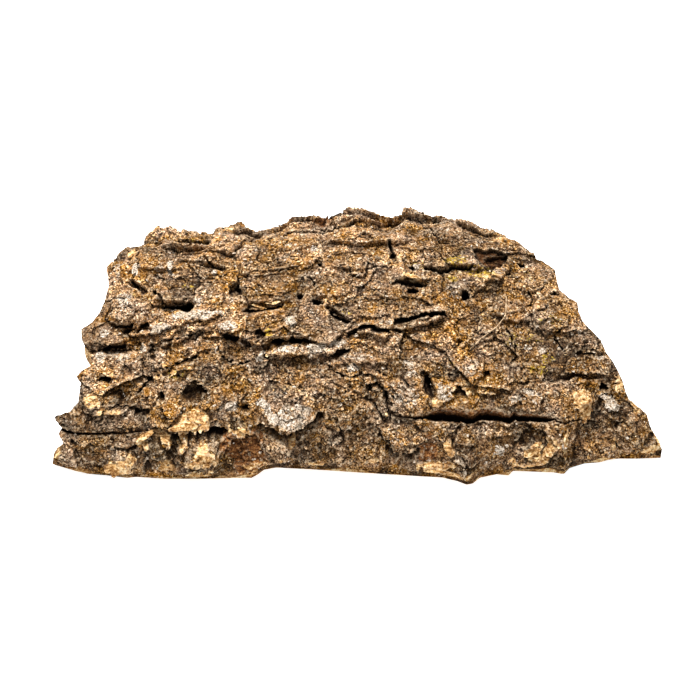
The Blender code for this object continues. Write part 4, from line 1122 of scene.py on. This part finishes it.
def crust_colour(tree, where):
    """The weathered crust: grey-brown in streaks and grains, with light and dark specks."""
    turned = stirred(tree, where, 24.0)
    streaks = grain(tree, stretched(tree, turned, 0.35, 1.0), 1.0, 5.0, 0.75)
    bent = stirred(tree, where, 1.2)
    specks = cells(tree, bent, 1.1)
    grit = cells(tree, bent, 0.85)
    fine = grain(tree, where, 1.05, 1.0, 0.6)
    fine = sums(tree, (fine, 0.78), (streaks, 0.28), (specks, 0.12), (grit, 0.12))
    uneven = moved(tree, grain(tree, where, 11.0, 3.0, 0.6, 12.0), 0.36, 0.64, 0.5, 1.35)
    value = plus(tree, times(tree, plus(tree, fine, -0.65), uneven), 0.474)
    value = sums(tree, (value, 0.92), (grain(tree, where, 10.0, 3.0), 0.08))
    colour = ramp(tree, value, CRUST_STOPS)
    crowded = grain(tree, where, 14.0, 3.0, 0.6, 8.0)
    many = moved(tree, crowded, 0.35, 0.65, 0.985, 0.87)
    light_speck = node(tree, "ShaderNodeMath", {0: specks, 1: many}, operation="GREATER_THAN").outputs[0]
    colour = mixed(tree, times(tree, light_speck, 0.8), colour, CREAM)
    colour = mixed(tree, times(tree, between(tree, specks, 0.16, 0.10), 0.8), colour, SPECK_AND_SHADE_BROWN)
    wavy = stirred(tree, where, 3.0)
    network = {"Vector": wavy, "Scale": 1 / (CRACKLE * MM)}
    crazed = node(tree, "ShaderNodeTexVoronoi", network, feature="DISTANCE_TO_EDGE")
    seams = between(tree, crazed.outputs["Distance"], 0.085, 0.03)
    cracked = between(tree, grain(tree, where, 8.0, 3.0, 0.6, 14.0), 0.46, 0.56)
    colour = mixed(tree, times(tree, times(tree, seams, cracked), 0.8), colour, SPECK_AND_SHADE_BROWN)
    return colour, value, specks


def make_crust():
    """Crust with all that shows on it."""
    made, tree, shader, where = finish_of("bark_crust")
    colour, value, specks = crust_colour(tree, where)
    shown = node(tree, "ShaderNodeVertexColor", layer_name="places_shown")
    deep = node(tree, "ShaderNodeVertexColor", layer_name="painted_shade_wear_tone_shown")
    kinds = node(tree, "ShaderNodeSeparateColor", {"Color": shown.outputs["Color"]})
    painted_shade_wear_tone = node(tree, "ShaderNodeSeparateColor", {"Color": deep.outputs["Color"]})
    uneven = grain(tree, where, 2.6, 5.0, 0.75, 3.0)
    long_streaks = grain(tree, stretched(tree, where, 0.3, 1.0), 1.8, 5.0, 0.7, 4.0)
    tan_streaks = sums(tree, (long_streaks, 0.5), (grain(tree, where, 1.5, 5.0, 0.75, 5.0), 0.5))
    tan_colour = ramp(tree, tan_streaks, TAN_STOPS)
    stained = between(tree, grain(tree, where, 5.0, 4.0, 0.65, 15.0), 0.45, 0.58)
    tan_colour = mixed(tree, times(tree, stained, 0.8), tan_colour, ramp(tree, tan_streaks, STAINED_STOPS))
    pale_colour = ramp(tree, value, LICHEN_STOPS)
    red_colour = ramp(tree, tan_streaks, FIBRE_STOPS)
    moss_colour = ramp(tree, uneven, MOSS_STOPS)

    def patch(share, amount):
        """A share with its edge broken up by the grain."""
        value = sums(tree, (share, 1.0), (uneven, amount))
        return between(tree, value, 0.5 + amount * 0.44, 0.5 + amount * 0.58)

    # Tone layer: the crust's own tone, with painted light and shade, lighter towards the crest, darker towards
    # the near rim and in patches.
    tone = moved(tree, painted_shade_wear_tone.outputs["Blue"], 0.0, 1.0, 0.20, 1.82)
    colour = node(tree, "ShaderNodeVectorMath", {0: colour, "Scale": tone}, operation="SCALE").outputs[0]
    warmth = moved(tree, grain(tree, where, 17.0, 4.0, 0.65, 21.0), 0.38, 0.62, 1.24, 0.81)
    colour = node(tree, "ShaderNodeHueSaturation", {"Saturation": warmth, "Color": colour}).outputs["Color"]
    colour = mixed(tree, patch(kinds.outputs["Green"], 1.8), colour, pale_colour)
    colour = mixed(tree, patch(shown.outputs["Alpha"], 2.4), colour, red_colour)
    colour = mixed(tree, patch(kinds.outputs["Red"], 1.2), colour, tan_colour)
    worn = times(tree, painted_shade_wear_tone.outputs["Green"], between(tree, uneven, 0.46, 0.60))
    colour = mixed(tree, times(tree, worn, 0.6), colour, CREAM)
    tufts = between(tree, cells(tree, where, 1.3), 0.50, 0.56)
    mossy = times(tree, patch(kinds.outputs["Blue"], 2.2), tufts)
    colour = mixed(tree, times(tree, mossy, 0.9), colour, moss_colour)
    # Painted shade: darker where the crust lies sunk below the crust round it and on chip undersides.
    colour = mixed(tree, painted_shade_wear_tone.outputs["Red"], colour, SPECK_AND_SHADE_BROWN)
    # Painted shade: near black in holes, slits and crack bottoms.
    colour = mixed(tree, times(tree, deep.outputs["Alpha"], 0.95), colour, HOLE_SHADE_BLACK)
    tree.links.new(colour, shader.inputs["Base Color"])
    shader.inputs["Roughness"].default_value = 0.92
    fine_grain = grain(tree, where, 0.8, 3.0, 0.7, 6.0)
    bumped(tree, shader, sums(tree, (value, 1.0), (fine_grain, 0.6), (specks, 0.20)), 1.1, 0.9)
    return made


def make_broken_cork():
    """Fresh cork where the plate was torn: tan, in thin layers."""
    made, tree, shader, where = finish_of("broken_cork")
    layers = grain(tree, stretched(tree, where, 0.2, 1.0), 1.6, 5.0, 0.7)
    value = sums(tree, (layers, 0.6), (grain(tree, where, 2.0, 4.0, 0.7, 2.0), 0.4))
    colour = ramp(tree, value, TAN_STOPS)
    dirt = between(tree, grain(tree, where, 5.0, 5.0, 0.7, 7.0), 0.40, 0.56)
    colour = mixed(tree, times(tree, dirt, 0.85), colour, (0.085, 0.046, 0.022))
    tree.links.new(colour, shader.inputs["Base Color"])
    shader.inputs["Roughness"].default_value = 0.88
    bumped(tree, shader, value, 1.4, 0.8)
    return made


def make_hollow_side():
    """The inner side, smooth and tan-brown, with faint grain and dark pores."""
    made, tree, shader, where = finish_of("hollow_side")
    grain_lines = grain(tree, stretched(tree, where, 0.05, 1.0), 2.6, 5.0, 0.65)
    value = sums(tree, (grain_lines, 0.6), (grain(tree, where, 26.0, 4.0, 0.6, 2.0), 0.4))
    colour = ramp(tree, value, (
        (0.34, (0.20, 0.105, 0.048)), (0.50, (0.40, 0.24, 0.125)), (0.64, (0.56, 0.38, 0.22)),
    ))
    pores = grain(tree, stretched(tree, where, 0.3, 1.0), 1.9, 2.0, 0.5, 9.0)
    colour = mixed(tree, times(tree, between(tree, pores, 0.64, 0.70), 0.85), colour, (0.05, 0.026, 0.013))
    tree.links.new(colour, shader.inputs["Base Color"])
    shader.inputs["Roughness"].default_value = 0.8
    bumped(tree, shader, sums(tree, (value, 1.0), (pores, -0.4)), 1.0, 0.5)
    return made


bark_crust = make_crust()
broken_cork = make_broken_cork()


def bark_piece(name, points, faces, shown, painted_shade_wear_tone, finishes):
    """A mesh of bark with its two layers of marks, riding with the slab, with the slab's solid hidden."""
    mesh = bpy.data.meshes.new(name)
    mesh.from_pydata((points * MM).tolist(), [], faces)
    for layer, values in (("places_shown", shown), ("painted_shade_wear_tone_shown", painted_shade_wear_tone)):
        mesh.color_attributes.new(layer, "FLOAT_COLOR", "POINT").data.foreach_set("color", values.ravel())
    for finish in finishes:
        mesh.materials.append(finish)
    mesh.shade_smooth()
    mesh.set_sharp_from_angle(angle=math.radians(40.0))
    piece = bpy.data.objects.new(name, mesh)
    scene.collection.objects.link(piece)
    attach(piece, "root")
    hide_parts("cork_bark_slab")
    return piece


near_row = int(np.searchsorted(row_places, NEAR_TO))
crown_row = int(np.searchsorted(row_places, CROWN_TO))
for name, first, last in (
    ("crust_near_slope", 0, near_row), ("crust_crown", near_row, crown_row),
    ("crust_far_slope", crown_row, rows - 1),
):
    strip_points, strip_faces = crust_strip(first, last)
    strip = (slice(None), slice(first, last + 1))
    bark_piece(name, strip_points, strip_faces.tolist(), shown[strip], painted_shade_wear_tone[strip], [bark_crust])

# The rest of the same plate: its smooth hollow side, which was next to the trunk, and the torn cork along
# both rims and at both ends, where it shows the layers that it grew in.
thick_places = np.linspace(0, 1, THICK_ROWS + 1)
belly_places = row_places[::-BELLY_SKIP]
ring_w = np.concatenate([np.full(THICK_ROWS, ROUND_TOTAL), belly_places, np.zeros(THICK_ROWS)])
ring_t = np.concatenate([thick_places[:0:-1], np.zeros(len(belly_places)), thick_places[1:]])
ring_u, ring_places = np.meshgrid(column_places, ring_w, indexing="ij")
ring_depths = np.broadcast_to(ring_t, ring_u.shape)
ring_points, _ = slab_place(ring_u, ring_places, ring_depths, 0.0)
ring = len(ring_w)
index = np.arange((COLUMNS + 1) * ring).reshape(COLUMNS + 1, ring)
faces = square_faces(index).tolist()
parts = [ring_points.reshape(-1, 3)]
count = (COLUMNS + 1) * ring
for end_u, column, flip in ((0.0, 0, False), (1.0, COLUMNS, True)):
    parts.append(crust[column])
    previous = np.arange(count, count + rows)
    count += rows
    belly = index[column, THICK_ROWS:THICK_ROWS + len(belly_places)][::-1]
    for number, share in enumerate(thick_places[-2:0:-1]):
        inner_w = row_places[1:-1]
        inner, _ = slab_place(np.full(inner_w.shape, end_u), inner_w, np.full(inner_w.shape, share))
        parts.append(inner)
        near_wall = index[column, ring - 2 - number]
        far_wall = index[column, 1 + number]
        line = np.concatenate([[near_wall], np.arange(count, count + len(inner_w)), [far_wall]])
        count += len(inner_w)
        strip = np.stack([previous[:-1], previous[1:], line[1:], line[:-1]], -1)
        faces.extend((strip[:, ::-1] if flip else strip).tolist())
        previous = line
    for part in range(len(belly) - 1):
        lowest = part * BELLY_SKIP
        outline = [belly[part + 1], belly[part]] + list(previous[lowest:lowest + BELLY_SKIP + 1])
        faces.append(outline[::-1] if flip else outline)
faces = [[int(number) for number in face] for face in faces]
rest_points = np.concatenate(parts)
unmarked = np.zeros((len(rest_points), 4))
rest = bark_piece("hollow_side", rest_points, faces, unmarked, unmarked, [broken_cork, make_hollow_side()])
sides = np.zeros(ring - 1, int)
sides[THICK_ROWS:ring - 1 - THICK_ROWS] = 1
end_faces = len(rest.data.polygons) - COLUMNS * (ring - 1)
face_sides = np.concatenate([np.tile(sides, COLUMNS), np.zeros(end_faces, int)])
rest.data.polygons.foreach_set("material_index", face_sides.astype(np.int32))


# Chips of crust that have lifted but still hold: thin curled pieces of the same cork, each placed where the
# slab has one.
def bark_frames(x, w, raised):
    """Places on the crust with their directions, along, up across and out, and the painted shade of any hole or
    crack.
    """
    left = smoothed(LEFT_END, w, END_ROUNDING)
    right = smoothed(RIGHT_END, w, END_ROUNDING)
    top, _, deep, split = bark_height(x, w, np.maximum(x - left, 0), np.maximum(right - x, 0))
    x0, y0, z0 = on_arch(x, leaned(w, top), top + raised)
    _, y1, z1 = on_arch(x, leaned(w, top) + 1.0, top + raised)
    spot = np.stack([x0, y0, settled(x, z0, w)], -1)
    across = np.stack([0 * x, y1 - y0, z1 - z0], -1)
    across /= np.linalg.norm(across, axis=1)[:, None]
    along = np.broadcast_to(np.array([1.0, 0.0, 0.0]), across.shape)
    return spot, along, across, np.cross(along, across), np.maximum(deep, split < -0.4)


def chips(name, x, w, half_x, half_w, turn, tilt, lean, thick, raised, rings, corners, tan, pale, tone, chance):
    """Chips of bark as one piece: each an uneven outline with a crusty top and a plain underside."""
    spot, along, across, out, deep = bark_frames(x, w, raised)
    keep = deep < 0.3
    spot, along, across, out = (part[keep] for part in (spot, along, across, out))
    x, w, half_x, half_w, turn, tilt, lean, thick, tan, pale, tone = (
        part[keep] for part in (x, w, half_x, half_w, turn, tilt, lean, thick, tan, pale, tone))
    count = len(x)
    angle = np.arange(corners) * 2 * np.pi / corners
    knots = min(corners, 9)
    bulge = 0.6 + 0.65 * chance.random((count, knots))
    place = np.arange(corners) * knots / corners
    low = np.floor(place).astype(int)
    part = place - low
    radius = bulge[:, low % knots] * (1 - part) + bulge[:, (low + 1) % knots] * part
    radius = radius + 0.07 * (2 * chance.random((count, corners)) - 1)
    own = chance.random(count) * 900
    layers = []
    for share in np.linspace(1, 0, rings + 1)[:-1]:
        a = radius * np.cos(angle) * share * half_x[:, None]
        b = radius * np.sin(angle) * share * half_w[:, None]
        crust_up = 0.5 * fine_relief(a + own[:, None], b + own[:, None] * 0.7) if rings > 1 else 0 * a
        layers.append((a, b, crust_up - 0.35 * share ** 2 * thick[:, None]))
    layers.append((np.zeros((count, 1)), np.zeros((count, 1)), np.zeros((count, 1))))
    a = radius * np.cos(angle) * 0.88 * half_x[:, None]
    b = radius * np.sin(angle) * 0.88 * half_w[:, None]
    layers.append((a, b, np.repeat(-1.1 * thick, corners).reshape(count, corners)))
    layers.append((np.zeros((count, 1)), np.zeros((count, 1)), -1.3 * thick[:, None]))
    a, b, c = (np.concatenate([layer[axis] for layer in layers], 1) for axis in range(3))
    turned_a = a * np.cos(turn)[:, None] - b * np.sin(turn)[:, None]
    turned_b = a * np.sin(turn)[:, None] + b * np.cos(turn)[:, None]
    reach = np.abs(turned_b).max(1)[:, None] * (tilt > 0)[:, None]
    c = c - (turned_b - 0.5 * reach) * np.sin(tilt)[:, None] - turned_a * np.sin(lean)[:, None]
    turned_b = turned_b * np.cos(tilt)[:, None]
    where = spot[:, None] + turned_a[..., None] * along[:, None] + turned_b[..., None] * across[:, None]
    where = where + c[..., None] * out[:, None]
    where[..., 2] = np.maximum(where[..., 2], 0.4)
    each = a.shape[1]
    centre = rings * corners
    under = centre + 1
    pattern = []
    for corner in range(corners):
        follow = (corner + 1) % corners
        for ring_number in range(rings - 1):
            start = ring_number * corners
            pattern.append((start + corner, start + follow, start + corners + follow, start + corners + corner))
        start = (rings - 1) * corners
        pattern.append((start + corner, start + follow, centre, centre))
        pattern.append((follow, corner, under + corner, under + follow))
        pattern.append((under + follow, under + corner, each - 1, each - 1))
    pattern = np.array(pattern)
    all_faces = (pattern[None] + (np.arange(count) * each)[:, None, None]).reshape(-1, 4)
    is_edge = np.zeros(each)
    is_edge[:corners] = 1
    shown = np.zeros((count, each, 4))
    shown[..., 0] = tan[:, None]
    shown[..., 1] = pale[:, None]
    shown[..., 2] = zone(x, w, MOSS_SPOTS, MOSS_SEED)[:, None]
    painted_shade_wear_tone = np.zeros((count, each, 4))
    painted_shade_wear_tone[..., 1] = is_edge
    # Painted shade: each chip's underside is darkened.
    painted_shade_wear_tone[:, under:, 0] = 0.6
    painted_shade_wear_tone[..., 2] = np.clip(0.5 + 0.5 * tone, 0.03, 0.97)[:, None]
    faces = [face[:3] if face[2] == face[3] else face for face in all_faces.tolist()]
    return bark_piece(name, where.reshape(-1, 3), faces, shown, painted_shade_wear_tone, [bark_crust])


# (along, round, half length, half width, turn and tilt in degrees, thickness, how far out, tan, pale, tone)
LIFTED = (
    (-67, 114, 6.0, 2.2, -18, 20, 1.0, 0.8, 1, 0, 0.3), (-57, 116, 5.5, 2.8, 8, 18, 1.1, 1.0, 1, 0.4, 0.5),
    (-85, 100, 7.5, 4.5, 12, 22, 1.6, 0.8, 0, 0.6, 0.4),
    (-46, 100, 3.0, 4.0, -20, 16, 1.0, 0.6, 0.3, 1, 0.6),
    (-86, 31.5, 3.6, 1.3, -35, 25, 0.8, 0.8, 0.6, 1, 0.7),
    (-76, 31, 4.2, 1.6, -28, 25, 0.9, 0.8, 1, 0.7, 0.7),
    (-126, 28.5, 3.2, 1.6, -50, 22, 0.9, 0.8, 1, 0.8, 0.6),
    (-138, 29, 6.5, 2.2, 35, 22, 1.2, 0.6, 1, 0, 0.2), (-113, 37, 10.0, 3.0, 12, 16, 1.2, 0.4, 1, 0, 0.2),
    (-84, 46, 4.6, 1.8, 42, 20, 0.9, 0.5, 0, 1, 0.6), (27, 26, 7.5, 4.4, -25, 24, 1.5, 0.8, 0.2, 0.4, 0.5),
    (38, 26, 5.5, 2.6, 20, 20, 1.2, 0.6, 0, 0.3, 0.3), (51, 46, 3.6, 2.2, 15, 20, 1.1, 0.6, 1, 0.5, 0.5),
    (36, 137, 7.0, 2.6, -20, 24, 1.2, 0.8, 1, 0.5, 0.5), (39, 147, 1.6, 3.2, 0, 16, 0.8, 0.6, 0, 1, 0.7),
    (24, 31, 4.0, 1.2, 20, 20, 0.8, 0.4, 0.4, 0.5, 0.4),
    (-129, 152, 1.8, 6.5, 4, 16, 0.9, 0.5, 0.2, 1, 0.6),
    (-153, 150, 1.6, 6.5, 0, 14, 0.9, 0.4, 0.2, 0.9, 0.5),
    (-157, 168, 2.0, 6.0, 0, 14, 0.9, 0.4, 0.9, 0.4, 0.5),
    (-108, 120, 3.4, 2.8, 10, 22, 1.0, 0.6, 0, 0.8, 0.5), (103, 48, 3.6, 2.4, 0, 20, 1.1, 0.5, 0, 0.9, 0.6),
    (-28, 80, 5.5, 3.2, 0, 14, 1.0, 0.3, 0, 1, 0.6), (-14, 84, 5.0, 1.8, -8, 20, 1.0, 0.5, 0, 1, 0.6),
    (52, 9, 9.0, 1.2, 2, 12, 0.8, 0.4, 1, 0, 0.2), (60, 21, 2.6, 4.6, 0, 14, 1.0, 0.4, 1, 0, 0.3),
    (112, 15, 4.2, 2.6, 10, 20, 1.2, 0.5, 1, 0.4, 0.4), (127, 17, 2.6, 3.6, 0, 16, 1.0, 0.4, 1, 0.2, 0.3),
    (150, 46, 4.0, 4.2, 30, 14, 1.0, 0.4, 1, 0.2, 0.3), (151, 34, 2.6, 4.6, -10, 14, 1.0, 0.4, 1, 0.2, 0.3),
    (168, 40, 4.2, 3.6, 0, 14, 1.0, 0.4, 0.4, 1, 0.5), (-158, 10, 7.5, 4.6, 20, 12, 1.0, 0.3, 1, 0, 0.3),
    (-104, 9, 8.0, 1.5, 0, 14, 1.0, 0.5, 1, 0.2, 0.4), (-126, 11, 5.5, 2.6, 10, 14, 1.0, 0.4, 1, 0.3, 0.4),
    (-28, 6.5, 4.6, 1.8, 6, 12, 0.9, 0.3, 1, 0, 0.1), (-137, 56, 5.0, 5.0, 30, 16, 1.2, 0.4, 0, 0.1, 0.2),
    (-122, 47, 4.6, 5.4, -15, 18, 1.2, 0.5, 0, 0.3, 0.3), (-98, 145, 1.6, 2.6, 0, 20, 0.9, 0.5, 0, 1, 0.6),
    (12, 127, 3.4, 3.6, 30, 20, 1.0, 0.5, 0, 0.5, 0.4),
)
LIFTED_RINGS = 7
LIFTED_CORNERS = 40
chance = np.random.default_rng(4)
lifted = np.array(LIFTED, float)
at_x, at_w, half_x, half_w, turn, tilt, thick, raised, tan, pale, tone = lifted.T
lean = np.radians(chance.uniform(-14, 14, len(lifted)))
chips("lifted_chips", at_x, at_w, half_x, half_w, np.radians(turn), np.radians(tilt), lean, thick, raised,
      LIFTED_RINGS, LIFTED_CORNERS, tan, pale, tone, chance)

# Crumbs: small flakes of cork, grit and dust that lie all over the crust and catch the light, scattered
# with a seeded chance.
CRUMBS = 5200
w = chance.random(CRUMBS) * 236 + 4
left = table_at(LEFT_END, w) + 3
right = table_at(RIGHT_END, w) - 3
x = left + chance.random(CRUMBS) * (right - left)
size = 0.55 + 1.3 * chance.random(CRUMBS) ** 2.4
light = chance.random(CRUMBS)
narrow = size * chance.uniform(0.45, 1.0, CRUMBS)
turn = chance.uniform(0, np.pi, CRUMBS)
tilt = np.radians(chance.normal(8, 26, CRUMBS))
lean = np.radians(chance.normal(0, 26, CRUMBS))
tone = chance.normal(0.1, 0.55, CRUMBS)
chips("crumbs", x, w, size, narrow, turn, tilt, lean, 0.35 + 0.25 * size, 0.12,
      1, 6, 1.0 * (light > 0.93), 0.9 * (light < 0.16), tone, chance)

# A dry grass stalk that lies on the right of the crown, caught in the crust: thin, pale and bent in
# two places. It is no part of the bark, and only rests on it.
STALK = (
    (100, 124), (99.4, 117), (99.0, 110), (97.5, 105), (95, 101.5), (92, 98), (88, 95), (84.5, 92),
    (81, 89.5), (77, 86.5), (74, 84),
)
STALK_RADIUS = 0.42
STALK_SIDES = 8
STALK_RINGS = 90
SPAN = 6
stalk = np.array(STALK, float)
along_stalk = np.linspace(0, len(STALK) - 1, STALK_RINGS)
stalk_x = np.interp(along_stalk, range(len(STALK)), stalk[:, 0])
stalk_w = np.interp(along_stalk, range(len(STALK)), stalk[:, 1])
spot, _, _, out, _ = bark_frames(stalk_x, stalk_w, 0.0)
highest = np.array([max(spot[max(0, i - SPAN):i + SPAN + 1] @ out[i]) for i in range(STALK_RINGS)])
rise = highest - np.sum(spot * out, axis=1)
rise = np.convolve(np.pad(rise, SPAN, mode="edge"), np.ones(2 * SPAN + 1) / (2 * SPAN + 1), mode="valid")
middle_line = spot + out * (rise + 0.1)[:, None]
forward = np.gradient(middle_line, axis=0)
forward /= np.linalg.norm(forward, axis=1)[:, None]
sideways = np.cross(forward, out)
sideways /= np.linalg.norm(sideways, axis=1)[:, None]
upward = np.cross(sideways, forward)
turns = np.arange(STALK_SIDES) * 2 * np.pi / STALK_SIDES
thin = STALK_RADIUS * np.interp(along_stalk, (0, 1, len(STALK) - 2, len(STALK) - 1), (0.5, 1.0, 0.8, 0.3))
thin = thin * (1 + 0.15 * np.sin(along_stalk * 5.1))
circle = np.cos(turns)[None, :, None] * sideways[:, None] + np.sin(turns)[None, :, None] * upward[:, None]
stalk_points = middle_line[:, None] + thin[:, None, None] * circle
numbers = np.arange(STALK_RINGS * STALK_SIDES).reshape(STALK_RINGS, STALK_SIDES)
beside = np.roll(numbers, -1, axis=1)
stalk_faces = np.stack([numbers[:-1], beside[:-1], beside[1:], numbers[1:]], -1).reshape(-1, 4).tolist()
stalk_faces.append(numbers[0][::-1].tolist())
stalk_faces.append(numbers[-1].tolist())
stalk_mesh = bpy.data.meshes.new("dry_stalk")
stalk_mesh.from_pydata((stalk_points.reshape(-1, 3) * MM).tolist(), [], stalk_faces)
stalk_mesh.shade_smooth()
straw, tree, shader, where = finish_of("dry_straw")
STRAW_STOPS = ((0.35, (0.34, 0.21, 0.11)), (0.65, (0.66, 0.50, 0.32)))
straw_colour = ramp(tree, grain(tree, where, 2.0, 3.0), STRAW_STOPS)
tree.links.new(straw_colour, shader.inputs["Base Color"])
shader.inputs["Roughness"].default_value = 0.7
stalk_mesh.materials.append(straw)
dry_stalk = bpy.data.objects.new("dry_stalk", stalk_mesh)
scene.collection.objects.link(dry_stalk)
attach(dry_stalk, "root")
